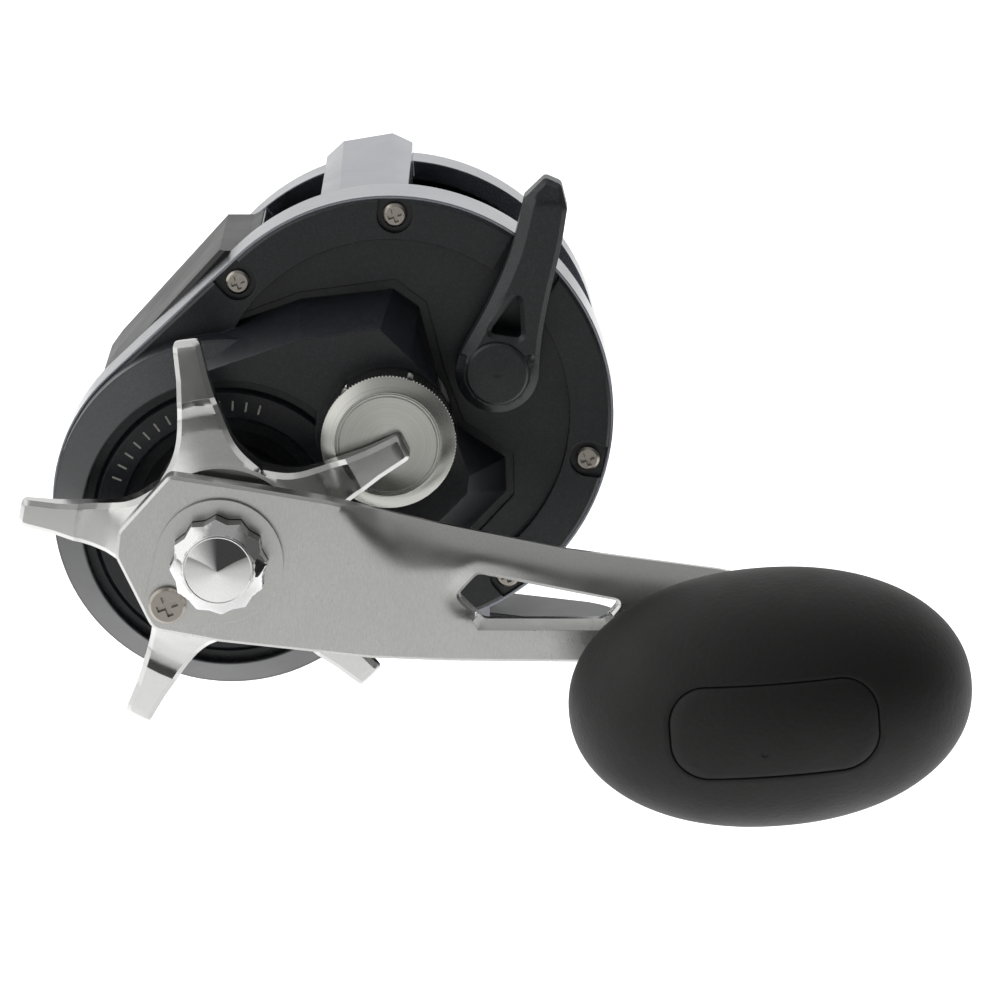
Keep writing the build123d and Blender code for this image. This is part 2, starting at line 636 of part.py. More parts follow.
with BuildPart() as retainer_screw:
    screw(retainer_screw_at, 3.15, 1.2, arm_high + 0.8, arm_high + 2.1, arm_low + 0.6)
save(retainer_screw, "retainer_screw")

# Power knob: a spindle riveted to the arm, two bearings, a core and a rubber grip
with BuildPart() as knob_spindle:
    turn(grip_at, [(0, 33.2), (4.2, 33.2), (4.2, arm_low), (3.0, arm_low), (3.0, arm_high), (5.4, arm_high),
                   (5.4, 40.4), (3.0, 40.4), (3.0, 68.0), (1.7, 68.0), (0, 68.0)])
    disc(grip_at, 1.3, 58, 69, mode=Mode.SUBTRACT)
save(knob_spindle, "knob_spindle")

with BuildPart() as knob_bearings:
    for low in (42.0, 63.6):
        bearing(grip_at, 3.04, 6.5, low, low + 4.0)
save(knob_bearings, "knob_bearings")

with BuildPart() as knob_core:
    turn(grip_at, [(6.5, 41.6), (9.5, 41.6), (9.5, 74.0), (0, 74.0), (0, 72.5), (6.5, 72.5)])
    turn(grip_at, [(4.4, 46.1), (6.6, 46.1), (6.6, 63.5), (4.4, 63.5)])
save(knob_core, "knob_core")

with BuildPart() as knob_screw:
    turn(grip_at, [(0, 60.0), (1.25, 60.0), (1.25, 68.0), (4.2, 68.0), (4.2, 69.2), (3.6, 69.8), (0, 69.8)])
save(knob_screw, "knob_screw")

grip_fullness = 2.12
grip_profile = []
for step in range(13):
    swing = math.pi * (1 - step / 12)
    along = math.copysign(abs(math.cos(swing)) ** (2 / grip_fullness), math.cos(swing))
    across = math.sin(swing) ** (2 / grip_fullness) if 0 < step < 12 else 0.0
    grip_profile.append((grip_half_length * along, grip_half_width * across))
with BuildPart() as knob_grip:
    grip_plane = face_at(grip_at, grip_height).rotated((0, 0, grip_tilt))
    with BuildSketch(grip_plane):
        with BuildLine():
            Spline(*grip_profile, tangents=[(0, 1), (0, -1)])
            Line(grip_profile[-1], grip_profile[0])
        make_face()
    revolve(axis=Axis(grip_plane.origin, grip_plane.x_dir), revolution_arc=180)
    mirror(about=grip_plane)
    turn(grip_at, [(0, 38.0), (9.6, 38.0), (9.6, 74.1), (0, 74.1)], mode=Mode.SUBTRACT)
    disc(grip_at, 12.0, 38.0, 41.2, mode=Mode.SUBTRACT)
save(knob_grip, "knob_grip")

# Spool with its shaft, drive pin and click ratchet
with BuildPart() as spool:
    turn(spool_at, [(spool_shaft_radius, -12.0), (32.0, -12.0), (32.3, -12.4), (32.3, -13.2), (31.8, -13.5),
                    (14.0, -15.5), (13.0, -17.0), (13.0, -38.0), (14.0, -39.5), (31.8, -41.5), (32.3, -41.8),
                    (32.3, -42.6), (32.0, -43.0), (6.0, -43.0), (6.0, -43.7), (spool_shaft_radius, -43.7)])
    with BuildSketch(face_at(spool_at, -44)):
        with PolarLocations(8.6, 6):
            Circle(2.4)
    extrude(amount=40, mode=Mode.SUBTRACT)
save(spool, "spool")

with BuildPart() as spool_shaft:
    turn(spool_at, [(0, -51.0), (1.6, -51.0), (spool_shaft_radius, -50.6), (spool_shaft_radius, 14.6),
                    (1.4, 15.2), (0, 15.2)])
    with BuildSketch(Plane(origin=(0, rim_y + 10.2, axis_height), x_dir=(0, 1, 0), z_dir=(1, 0, 0))):
        Circle(0.8)
    extrude(amount=3, both=True, mode=Mode.SUBTRACT)
save(spool_shaft, "spool_shaft")

with BuildPart() as drive_pin:
    with BuildSketch(Plane(origin=(0, rim_y + 10.2, axis_height), x_dir=(0, 1, 0), z_dir=(1, 0, 0))):
        Circle(0.78)
    extrude(amount=4.2, both=True)
save(drive_pin, "drive_pin")

click_teeth = 20
with BuildPart() as click_ratchet:
    click_outline = []
    for tooth in range(click_teeth):
        click_outline.append(polar(7.9, 360 / click_teeth * tooth))
        click_outline.append(polar(9.4, 360 / click_teeth * (tooth + 0.5)))
    toothed(spool_at, click_outline, -45.2, -43.7)
    disc(spool_at, spool_shaft_radius, -46, -43, mode=Mode.SUBTRACT)
save(click_ratchet, "click_ratchet")

# Pinion, sliding on the spool shaft, slotted for the drive pin and necked for the yoke
pinion_tip = gear_module * (pinion_teeth / 2 + 0.85)
pinion_root = gear_module * (pinion_teeth / 2 - 0.86)
gap_angle = mesh_angle + 180 + 180 / pinion_teeth
with BuildPart() as pinion:
    toothed(spool_at, tooth_outline(pinion_teeth, pinion_tip, pinion_root, gap_angle), -8.6, 1.4)
    disc(spool_at, 5.2, -11.2, -8.6)
    disc(spool_at, 3.4, 1.4, 3.2)
    disc(spool_at, 4.8, 3.2, 5.6)
    disc(spool_at, 2.0, -12, 6, mode=Mode.SUBTRACT)
    slab([(-6, -0.95), (6, -0.95), (6, 0.95), (-6, 0.95)], -11.3, -9.2, mode=Mode.SUBTRACT)
save(pinion, "pinion")

# Clutch: yoke on two sprung posts, a cam plate under its feet, and the lever that turns the cam
yoke_low = 1.56
yoke_high = 3.04
with BuildPart() as yoke:
    link(*post_places, 3.2, 3.2, yoke_low, yoke_high)
    disc(spool_at, 7.2, yoke_low, yoke_high)
    link((0, 0), polar(8, mesh_angle), 3.6, 3.6, 1, 4, mode=Mode.SUBTRACT)
    for place in post_places:
        disc(place, 1.6, 1, 4, mode=Mode.SUBTRACT)
    for angle in (mesh_angle - 72, mesh_angle + 72):
        sector(7.5, 9.6, angle - 3, angle + 3, -3.5, yoke_low + 0.1)
save(yoke, "yoke")

with BuildPart() as yoke_posts:
    for place in post_places:
        turn(place, [(0, bridge_high), (2.2, bridge_high), (2.2, -7.0), (1.5, -7.0), (1.5, 7.3), (0, 7.3)])
save(yoke_posts, "yoke_posts")

with BuildPart() as yoke_springs:
    for place in post_places:
        coil(place, 2.25, 0.3, 3.1, 7.5, 4)
save(yoke_springs, "yoke_springs")

cam_ratio = 0.494
lever_swing = 30.0
cam_swing = lever_swing * cam_ratio
cam_low = -4.9
cam_high = -3.62
lever_angle = math.degrees(math.atan2(lever_at[1], lever_at[0]))
crank_throw = 7.0
pin_angle = lever_angle + 180 + lever_swing / 2
pin_at = polar(crank_throw, pin_angle, lever_at)
slot_angle = math.degrees(math.atan2(pin_at[1], pin_at[0]))
ramp_steps = 8
with BuildPart() as clutch_cam:
    sector(7.0, 10.0, mesh_angle - 108, mesh_angle + 92, cam_low, cam_high)
    with BuildSketch(face_at(spool_at, cam_low)):
        with BuildLine():
            Polyline(polar(9.0, slot_angle - 24), polar(16.4, slot_angle - 11), polar(16.4, slot_angle + 11),
                     polar(9.0, slot_angle + 24), close=True)
        make_face()
    extrude(amount=cam_high - cam_low)
    link(polar(12.2, slot_angle), polar(18, slot_angle), 1.6, 1.6, -6, -3, mode=Mode.SUBTRACT)
    for foot in (mesh_angle - 72, mesh_angle + 72):
        for step in range(ramp_steps):
            top = cam_high + clutch_throw * (step + 0.3) / ramp_steps - 0.05
            start = foot - 3.6 - cam_swing * (step + 1) / ramp_steps
            sector(7.4, 9.7, start - 6.5, start + cam_swing / ramp_steps, cam_low, top)
save(clutch_cam, "clutch_cam")

with BuildPart() as lever_shaft:
    disc(lever_at, 2.95, -6.6, 6.4)
    link(lever_at, pin_at, 3.6, 2.2, -6.6, -5.1)
    disc(pin_at, 1.45, -5.2, -3.7)
save(lever_shaft, "lever_shaft")

lever_back = [(11.3, 8.6), (12.6, 12.4), (16.9, 20.8), (20.8, 30.2), (23.2, 39.8)]
lever_front = [(30.4, 37.0), (29.3, 30.8), (27.1, 21.2), (26.0, 14.2), (25.55, 8.6)]
lever_window = [(22.2, 23.4), (22.7, 14.6), (16.6, 15.6)]
with BuildPart() as clutch_lever:
    with BuildSketch(face_at(spool_at, 0.8)) as lever_plan:
        with BuildLine():
            Spline(*lever_back)
            Polyline(lever_back[-1], (26.9, 42.7), (29.4, 41.7), lever_front[0])
            Spline(*lever_front)
            Line(lever_front[-1], lever_back[0])
        make_face()
        fillet(lever_plan.vertices().sort_by(Axis.Y)[-2:], 1.5)
        with Locations(lever_at):
            Circle(7.2)
    extrude(amount=6.0)
    chamfer(clutch_lever.faces().sort_by(Axis.Y)[0].edges(), 1.2)
    slab(lever_window, 0, 8, mode=Mode.SUBTRACT, corner=0.8)
    disc(lever_at, 2.95, 0, 6.4, mode=Mode.SUBTRACT)
save(clutch_lever, "clutch_lever")

with BuildPart() as lever_cap:
    turn(lever_at, [(0, 6.8), (5.4, 6.8), (5.4, 7.4), (5.0, 7.8), (0, 8.1)])
save(lever_cap, "lever_cap")

# Cast control knob: a knurled cap on the threaded seat, pressing a shim on the shaft's end
knurls = 72
with BuildPart() as cast_control_knob:
    turn(spool_at, [(0, 13.4), (11.3, 13.4), (11.65, 13.8), (11.65, 19.9), (11.4, 20.2), (9.3, 21.6),
                    (9.2, 21.6), (9.1, 21.3), (8.8, 21.3), (8.7, 21.6), (0, 21.7)])
    disc(spool_at, 8.72, 13, 17.9, mode=Mode.SUBTRACT)
    disc(spool_at, 4.3, 16.1, 18.0)
    with BuildSketch(face_at(spool_at, 12)) as grooves:
        with PolarLocations(11.85, knurls):
            Rectangle(0.7, 0.42, rotation=90)
    extrude(amount=8.2, mode=Mode.SUBTRACT)
save(cast_control_knob, "cast_control_knob")

with BuildPart() as control_shim:
    disc(spool_at, 4.2, 15.35, 16.08)
save(control_shim, "control_shim")

with BuildPart() as control_ring:
    turn(spool_at, [(7.85, 14.05), (8.55, 14.05), (8.55, 14.95), (7.85, 14.95)])
save(control_ring, "control_ring")

# Left side: cover plate, its screws, and the clicker
left_screws = [polar(30.5, angle) for angle in (75, 195, 315)]
click_slot = (14.8, 21.2)
with BuildPart() as left_side_plate:
    turn(spool_at, [(0, -54.6), (22.0, -54.6), (32.0, -53.8), (35.6, -53.0), (36.3, -52.02), (32.8, -52.02),
                    (32.8, -51.4), (8.4, -51.4), (8.4, -46.2), (5.52, -46.2), (5.52, -50.5), (3.6, -50.5),
                    (3.6, -51.8), (0, -51.8)])
    link((click_slot[0], 0), (click_slot[1], 0), 1.9, 1.9, -56, -50, mode=Mode.SUBTRACT)
    for place in left_screws:
        disc(place, 1.3, -56, -50, mode=Mode.SUBTRACT)
        disc(place, 2.6, -56, -53.2, mode=Mode.SUBTRACT)
save(left_side_plate, "left_side_plate")

with BuildPart() as left_plate_screws:
    for place in left_screws:
        disc(place, 2.2, -54.2, -53.2)
        disc(place, 1.2, -53.3, -49.6)
save(left_plate_screws, "left_plate_screws")

button_at = (20.0, 0.0)
with BuildPart() as click_button:
    link((17.4, 0), (22.6, 0), 3.4, 3.4, -57.4, -54.75)
    link((19.2, 0), (20.8, 0), 1.8, 1.8, -54.8, -50.0)
    disc(button_at, 1.2, -50.1, -44.2)
save(click_button, "click_button")

with BuildPart() as click_pawl:
    slab([(12.6, 0), (16.0, 1.1), (19.4, 1.9), (22.0, 1.4), (22.0, -1.4), (19.4, -1.9), (16.0, -1.1)],
         -45.4, -44.3)
    disc(button_at, 1.25, -46, -44, mode=Mode.SUBTRACT)
save(click_pawl, "click_pawl")

with BuildPart() as click_spring:
    disc(button_at, 2.6, -46.5, -45.7)
    for side in (1, -1):
        slab([(15.6, side * 2.6), (24.4, side * 2.6), (24.4, side * 2.1), (15.6, side * 2.1)], -46.5, -45.7)
    sector(23.9, 24.4, -6.2, 6.2, -46.5, -45.7)
    disc(button_at, 1.2, -47, -45, mode=Mode.SUBTRACT)
save(click_spring, "click_spring")
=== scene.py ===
import json
import math

import bmesh
import bpy
import numpy as np
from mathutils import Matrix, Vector, geometry


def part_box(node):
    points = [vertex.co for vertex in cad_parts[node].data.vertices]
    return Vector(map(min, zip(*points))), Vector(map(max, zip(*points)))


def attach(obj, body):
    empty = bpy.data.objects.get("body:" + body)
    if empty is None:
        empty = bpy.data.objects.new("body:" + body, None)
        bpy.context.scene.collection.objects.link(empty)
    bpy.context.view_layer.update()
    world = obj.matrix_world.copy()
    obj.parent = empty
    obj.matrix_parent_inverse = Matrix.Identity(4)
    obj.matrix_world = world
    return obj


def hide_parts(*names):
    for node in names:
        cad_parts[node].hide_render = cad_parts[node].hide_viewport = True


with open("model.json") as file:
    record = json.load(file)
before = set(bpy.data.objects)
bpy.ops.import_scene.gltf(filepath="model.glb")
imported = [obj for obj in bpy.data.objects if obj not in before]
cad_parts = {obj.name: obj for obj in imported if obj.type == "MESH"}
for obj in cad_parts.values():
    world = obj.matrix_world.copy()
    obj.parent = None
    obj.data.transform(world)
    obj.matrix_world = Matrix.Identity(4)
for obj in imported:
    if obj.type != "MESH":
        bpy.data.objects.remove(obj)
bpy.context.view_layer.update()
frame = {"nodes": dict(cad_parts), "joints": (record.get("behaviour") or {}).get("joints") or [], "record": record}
nodes = frame["nodes"]
joint_at = {j["name"]: Vector(j["pos_m"]) for j in frame["joints"] if "pos_m" in j}

# Shapes are given in millimetres in plate coordinates: x forward and z up from the spool axis, and
# h the height above the rim face of the handle side plate, towards the handle.
MM = 0.001
SPOOL = joint_at["spool_spin"]
RIM_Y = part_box("frame")[0].y - 0.5 * MM


def plate(joint):
    """A joint's axis as (x, z) in plate coordinates."""
    return ((joint_at[joint].x - SPOOL.x) / MM, (joint_at[joint].z - SPOOL.z) / MM)


DRIVE = plate("handle_crank")
LEVER = plate("clutch_lever")
GRIP = plate("knob_spin")


def top_of(node):
    """How high a CAD node stands, as h."""
    return (RIM_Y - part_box(node)[0].y) / MM


def foot_of(node):
    """How low a CAD node reaches, as h."""
    return (RIM_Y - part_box(node)[1].y) / MM


def spot(x, z, h):
    """A point in plate coordinates as a point of the row frame in metres."""
    return Vector((SPOOL.x + x * MM, RIM_Y - h * MM, SPOOL.z + z * MM))


# ---------------------------------------------------------------- meshes


def finish_mesh(bm, name, body, node=None, material=None, sharp=28):
    """Turns a bmesh into a piece that rides on a body, with creases sharper than an angle kept sharp."""
    bmesh.ops.remove_doubles(bm, verts=bm.verts, dist=1e-7)
    bmesh.ops.recalc_face_normals(bm, faces=bm.faces)
    for face in bm.faces:
        face.smooth = True
    for edge in bm.edges:
        if len(edge.link_faces) == 2 and edge.calc_face_angle(0) > math.radians(sharp):
            edge.smooth = False
    mesh = bpy.data.meshes.new(name)
    bm.to_mesh(mesh)
    bm.free()
    piece = bpy.data.objects.new(name, mesh)
    bpy.context.scene.collection.objects.link(piece)
    if material:
        mesh.materials.append(material)
    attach(piece, body)
    if node:
        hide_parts(*([node] if isinstance(node, str) else node))
    return piece


def dense(loop, step, closed=True):
    """A polyline with points no further apart than a step."""
    out = []
    last = len(loop) if closed else len(loop) - 1
    for i in range(last):
        a, b = Vector(loop[i]), Vector(loop[(i + 1) % len(loop)])
        count = max(1, math.ceil((b - a).length / step))
        out += [tuple(a.lerp(b, k / count)) for k in range(count)]
    if not closed:
        out.append(tuple(loop[-1]))
    return out


def rounded(loop, radii, parts=7):
    """A closed outline with its corners rounded."""
    count = len(loop)
    if not hasattr(radii, "__len__"):
        radii = [radii] * count
    out = []
    for i in range(count):
        a, p, b = Vector(loop[i - 1]), Vector(loop[i]), Vector(loop[(i + 1) % count])
        u, v = (a - p).normalized(), (b - p).normalized()
        turn = math.acos(max(-1.0, min(1.0, u.dot(v))))
        if radii[i] <= 0 or turn > math.radians(178):
            out.append(tuple(p))
            continue
        reach = min(radii[i] / math.tan(turn / 2), 0.45 * (a - p).length, 0.45 * (b - p).length)
        start, end = p + u * reach, p + v * reach
        for k in range(parts + 1):
            t = k / parts
            out.append(tuple((1 - t) ** 2 * start + 2 * t * (1 - t) * p + t * t * end))
    return out


def through(points, parts=8):
    """A smooth open curve through points."""
    points = [Vector(p) for p in points]
    ends = [2 * points[0] - points[1]] + points + [2 * points[-1] - points[-2]]
    out = []
    for i in range(1, len(ends) - 2):
        p0, p1, p2, p3 = ends[i - 1 : i + 3]
        for k in range(parts):
            t = k / parts
            out.append(
                tuple(
                    0.5
                    * (
                        2 * p1
                        + (p2 - p0) * t
                        + (2 * p0 - 5 * p1 + 4 * p2 - p3) * t**2
                        + (3 * p1 - p0 - 3 * p2 + p3) * t**3
                    )
                )
            )
    out.append(tuple(points[-1]))
    return out


def inside(points, loop):
    """Which points lie inside a closed outline."""
    x, y = points[:, 0], points[:, 1]
    result = np.zeros(len(points), bool)
    for (x0, y0), (x1, y1) in zip(loop, loop[1:] + loop[:1]):
        if y0 == y1:
            continue
        crosses = (y0 > y) != (y1 > y)
        result ^= crosses & (x < (x1 - x0) * (y - y0) / (y1 - y0) + x0)
    return result


def distance(points, lines):
    """The distance of each point from the nearest of some segments."""
    best = np.full(len(points), 1e9)
    for (x0, y0), (x1, y1) in lines:
        dx, dy = x1 - x0, y1 - y0
        t = np.clip(((points[:, 0] - x0) * dx + (points[:, 1] - y0) * dy) / (dx * dx + dy * dy + 1e-12), 0, 1)
        best = np.minimum(best, np.hypot(points[:, 0] - x0 - t * dx, points[:, 1] - y0 - t * dy))
    return best


def segments(loop, closed=True):
    """The segments of a polyline."""
    return list(zip(loop, loop[1:] + loop[:1])) if closed else list(zip(loop, loop[1:]))


def shifted(loop, by, others):
    """Runs of points a distance inside a closed outline, left out where they come too close to it."""
    pts = np.array(loop)
    ahead, behind = np.roll(pts, -1, 0), np.roll(pts, 1, 0)
    along = ahead - behind
    along /= np.linalg.norm(along, axis=1)[:, None] + 1e-12
    area = np.sum(pts[:, 0] * ahead[:, 1] - ahead[:, 0] * pts[:, 1])
    side = 1 if area > 0 else -1
    moved = pts + by * side * np.stack([-along[:, 1], along[:, 0]], 1)
    keep = distance(moved, others) > abs(by) * 0.97
    runs, run = [], []
    for i in list(range(len(moved))) + [0]:
        if keep[i]:
            run.append(tuple(moved[i]))
        else:
            if len(run) > 1:
                runs.append(run)
            run = []
    if len(run) > 1:
        runs.append(run)
    return runs


def relief(bm, outline, height, low, holes=(), creases=(), rims=(), cell=0.8):
    """A solid on an outline: its face follows height(x, z, edge) and its back is at low.

    edge is the distance from the outline, or from the nearest hole where that is less. rims are
    distances from the edges where the face has a crease, and creases are more such lines.
    """
    step = cell * 0.6
    loops = [dense(outline, step)] + [dense(hole, step) for hole in holes]
    edges_of = [s for loop in loops for s in segments(loop)]
    points, links = [], []

    def add(line, closed):
        first = len(points)
        points.extend(line)
        links.extend((first + i, first + i + 1) for i in range(len(line) - 1))
        if closed:
            links.append((first + len(line) - 1, first))

    for loop in loops:
        add(loop, True)
    fixed = list(edges_of)
    for rim in rims:
        for number, loop in enumerate(loops):
            for run in shifted(loop, rim if number == 0 else -rim, edges_of):
                add(run, False)
                fixed += segments(run, False)
    for line in creases:
        run = dense(line, step, closed=False)
        add(run, False)
        fixed += segments(run, False)
    shell = np.array(loops[0])
    low_x, low_z = shell.min(0)
    high_x, high_z = shell.max(0)
    grid = []
    row = 0
    z = low_z
    while z < high_z:
        x = low_x + (0.5 * cell if row % 2 else 0.0)
        while x < high_x:
            grid.append((x, z))
            x += cell
        z += cell * 0.866
        row += 1
    grid = np.array(grid)
    keep = inside(grid, loops[0])
    for hole in loops[1:]:
        keep &= ~inside(grid, hole)
    grid = grid[keep]
    grid = grid[distance(grid, fixed) > 0.45 * cell]
    points += [tuple(p) for p in grid]
    verts, _, faces, *_ = geometry.delaunay_2d_cdt([Vector(p) for p in points], links, [], 0, 1e-4)
    flat = np.array([(v.x, v.y) for v in verts])
    middles = np.array([flat[list(f)].mean(0) for f in faces])
    good = inside(middles, loops[0])
    for hole in loops[1:]:
        good &= ~inside(middles, hole)
    edge = distance(flat, edges_of)
    faces = [f for f, ok in zip(faces, good) if ok]
    used = sorted({i for f in faces for i in f})
    back = low if callable(low) else (lambda x, z: low)
    top = {}
    for i in used:
        x, z = flat[i][0], flat[i][1]
        top[i] = bm.verts.new(spot(x, z, height(x, z, edge[i])))
    bottom = {i: bm.verts.new(spot(flat[i][0], flat[i][1], back(flat[i][0], flat[i][1]))) for i in used}
    sides = {}
    for f in faces:
        bm.faces.new([top[i] for i in f])
        bm.faces.new([bottom[i] for i in reversed(f)])
        for a, b in zip(f, tuple(f[1:]) + (f[0],)):
            sides[(a, b)] = sides.get((a, b), 0) + 1
    for a, b in sides:
        if (b, a) not in sides:
            bm.faces.new([top[b], top[a], bottom[a], bottom[b]])


def lathe(bm, place, profile, parts=96, wobble=None):
    """A closed turned solid from (radius, h) points, the first and last on or off the axis."""
    rings = []
    for index, (radius, h) in enumerate(profile):
        if radius < 1e-6:
            rings.append([bm.verts.new(spot(place[0], place[1], h))])
            continue
        ring = []
        for k in range(parts):
            angle = 2 * math.pi * k / parts
            r = radius + (wobble(index, angle) if wobble else 0.0)
            ring.append(bm.verts.new(spot(place[0] + r * math.cos(angle), place[1] + r * math.sin(angle), h)))
        rings.append(ring)
    pairs = list(zip(rings, rings[1:]))
    if len(rings[0]) > 1 and len(rings[-1]) > 1:
        pairs.append((rings[-1], rings[0]))
    for a, b in pairs:
        for k in range(parts):
            j = (k + 1) % parts
            if len(a) == 1 and len(b) == 1:
                continue
            if len(a) == 1:
                bm.faces.new([a[0], b[j], b[k]])
            elif len(b) == 1:
                bm.faces.new([a[k], a[j], b[0]])
            else:
                bm.faces.new([a[k], a[j], b[j], b[k]])


def polar(radius, angle, centre=(0.0, 0.0)):
    """The point at a radius and an angle in degrees from a centre."""
    return (
        centre[0] + radius * math.cos(math.radians(angle)),
        centre[1] + radius * math.sin(math.radians(angle)),
    )


def ease(value, start, end):
    """A smooth step from 0 to 1 as value goes from start to end."""
    t = min(1.0, max(0.0, (value - start) / (end - start)))
    return t * t * (3 - 2 * t)


# ---------------------------------------------------------------- materials


def material(name, colour, rough, metallic=0.0, specular=0.5, coat=0.0, aniso=0.0):
    """A Principled material, with the shader and the links to build its detail on."""
    mat = bpy.data.materials.new(name)
    mat.use_nodes = True
    tree = mat.node_tree
    shader = tree.nodes["Principled BSDF"]
    shader.inputs["Base Color"].default_value = (*colour, 1)
    shader.inputs["Roughness"].default_value = rough
    shader.inputs["Metallic"].default_value = metallic
    shader.inputs["Specular IOR Level"].default_value = specular
    shader.inputs["Coat Weight"].default_value = coat
    shader.inputs["Coat Roughness"].default_value = 0.12
    shader.inputs["Anisotropic"].default_value = aniso
    return mat, tree, shader


def coords(tree, scale=(1, 1, 1), about=(0, 0, 0)):
    """Object coordinates in millimetres from a point, stretched by a scale."""
    place = tree.nodes.new("ShaderNodeTexCoord")
    shift = tree.nodes.new("ShaderNodeVectorMath")
    shift.operation = "SUBTRACT"
    shift.inputs[1].default_value = about
    stretch = tree.nodes.new("ShaderNodeVectorMath")
    stretch.operation = "MULTIPLY"
    stretch.inputs[1].default_value = [s * 1000 for s in scale]
    tree.links.new(place.outputs["Object"], shift.inputs[0])
    tree.links.new(shift.outputs[0], stretch.inputs[0])
    return stretch.outputs[0]


def noise(tree, vector, scale, detail=4.0, rough=0.6):
    """A noise texture's height."""
    node = tree.nodes.new("ShaderNodeTexNoise")
    node.inputs["Scale"].default_value = scale
    node.inputs["Detail"].default_value = detail
    node.inputs["Roughness"].default_value = rough
    tree.links.new(vector, node.inputs["Vector"])
    return node.outputs["Fac"]


def remap(tree, value, low, high, start=0.3, end=0.7):
    """A value taken from one range to another."""
    node = tree.nodes.new("ShaderNodeMapRange")
    node.inputs["From Min"].default_value = start
    node.inputs["From Max"].default_value = end
    node.inputs["To Min"].default_value = low
    node.inputs["To Max"].default_value = high
    tree.links.new(value, node.inputs["Value"])
    return node.outputs["Result"]


def tint(tree, value, dark, light, start=0.3, end=0.7):
    """A value taken to a colour between two."""
    node = tree.nodes.new("ShaderNodeMix")
    node.data_type = "RGBA"
    node.inputs["A"].default_value = (*dark, 1)
    node.inputs["B"].default_value = (*light, 1)
    tree.links.new(remap(tree, value, 0, 1, start, end), node.inputs["Factor"])
    return node.outputs["Result"]


def bump(tree, value, strength, depth, normal=None):
    """A bump of some depth in metres."""
    node = tree.nodes.new("ShaderNodeBump")
    node.inputs["Strength"].default_value = strength
    node.inputs["Distance"].default_value = depth
    tree.links.new(value, node.inputs["Height"])
    if normal:
        tree.links.new(normal, node.inputs["Normal"])
    return node.outputs["Normal"]


def soft_edges(tree, radius):
    """Normals as if the edges were slightly rounded."""
    node = tree.nodes.new("ShaderNodeBevel")
    node.samples = 4
    node.inputs["Radius"].default_value = radius * MM
    return node.outputs["Normal"]


def shade(colour):
    """Lighter and darker neighbours of a colour."""
    return [c * 0.86 for c in colour], [min(1.0, c * 1.12) for c in colour]


def satin_metal(name, colour, rough, grain=(2.2, 2.2, 2.2), depth=0.004, edges=0.15, aniso=0.0, smudge=0.06):
    """A satin metal with fine grain, slight smudges and softened edges."""
    mat, tree, shader = material(name, colour, rough, metallic=1.0, aniso=aniso)
    dark, light = shade(colour)
    fine = noise(tree, coords(tree, grain), 3.0, 6.0, 0.7)
    broad = noise(tree, coords(tree), 0.09, 3.0)
    tree.links.new(tint(tree, fine, dark, light), shader.inputs["Base Color"])
    tree.links.new(remap(tree, broad, rough - smudge, rough + smudge), shader.inputs["Roughness"])
    normal = soft_edges(tree, edges) if edges else None
    tree.links.new(bump(tree, fine, 0.25, depth * MM, normal), shader.inputs["Normal"])
    return mat


def painted(name, colour, rough, fleck=0.35, specular=0.5, edges=0.3, coat=0.0):
    """Charcoal paint with fine metallic flake."""
    mat, tree, shader = material(name, colour, rough, specular=specular, coat=coat)
    space = coords(tree)
    cells = tree.nodes.new("ShaderNodeTexVoronoi")
    cells.inputs["Scale"].default_value = 4.5
    tree.links.new(space, cells.inputs["Vector"])
    split = tree.nodes.new("ShaderNodeSeparateColor")
    tree.links.new(cells.outputs["Color"], split.inputs[0])
    light = [c * (1 + 2.4 * fleck) + 0.01 * fleck for c in colour]
    dark = [c * (1 - 0.5 * fleck) for c in colour]
    tree.links.new(tint(tree, split.outputs[0], dark, light, 0.55, 1.0), shader.inputs["Base Color"])
    broad = noise(tree, space, 0.07, 3.0)
    tree.links.new(remap(tree, broad, rough - 0.04, rough + 0.05), shader.inputs["Roughness"])
    fine = noise(tree, space, 2.5, 3.0)
    tree.links.new(bump(tree, fine, 0.12, 0.01 * MM, soft_edges(tree, edges)), shader.inputs["Normal"])
    return mat


def moulded(name, colour, rough, specular=0.4, edges=0.3, grain=1.6, depth=0.03):
    """Moulded black plastic with a fine spark-eroded texture."""
    mat, tree, shader = material(name, colour, rough, specular=specular)
    space = coords(tree)
    fine = noise(tree, space, grain, 5.0, 0.65)
    dark, light = shade(colour)
    tree.links.new(tint(tree, fine, dark, light), shader.inputs["Base Color"])
    sheen = remap(tree, noise(tree, space, 0.08), rough - 0.05, rough + 0.06)
    tree.links.new(sheen, shader.inputs["Roughness"])
    tree.links.new(bump(tree, fine, 0.3, depth * MM, soft_edges(tree, edges)), shader.inputs["Normal"])
    return mat


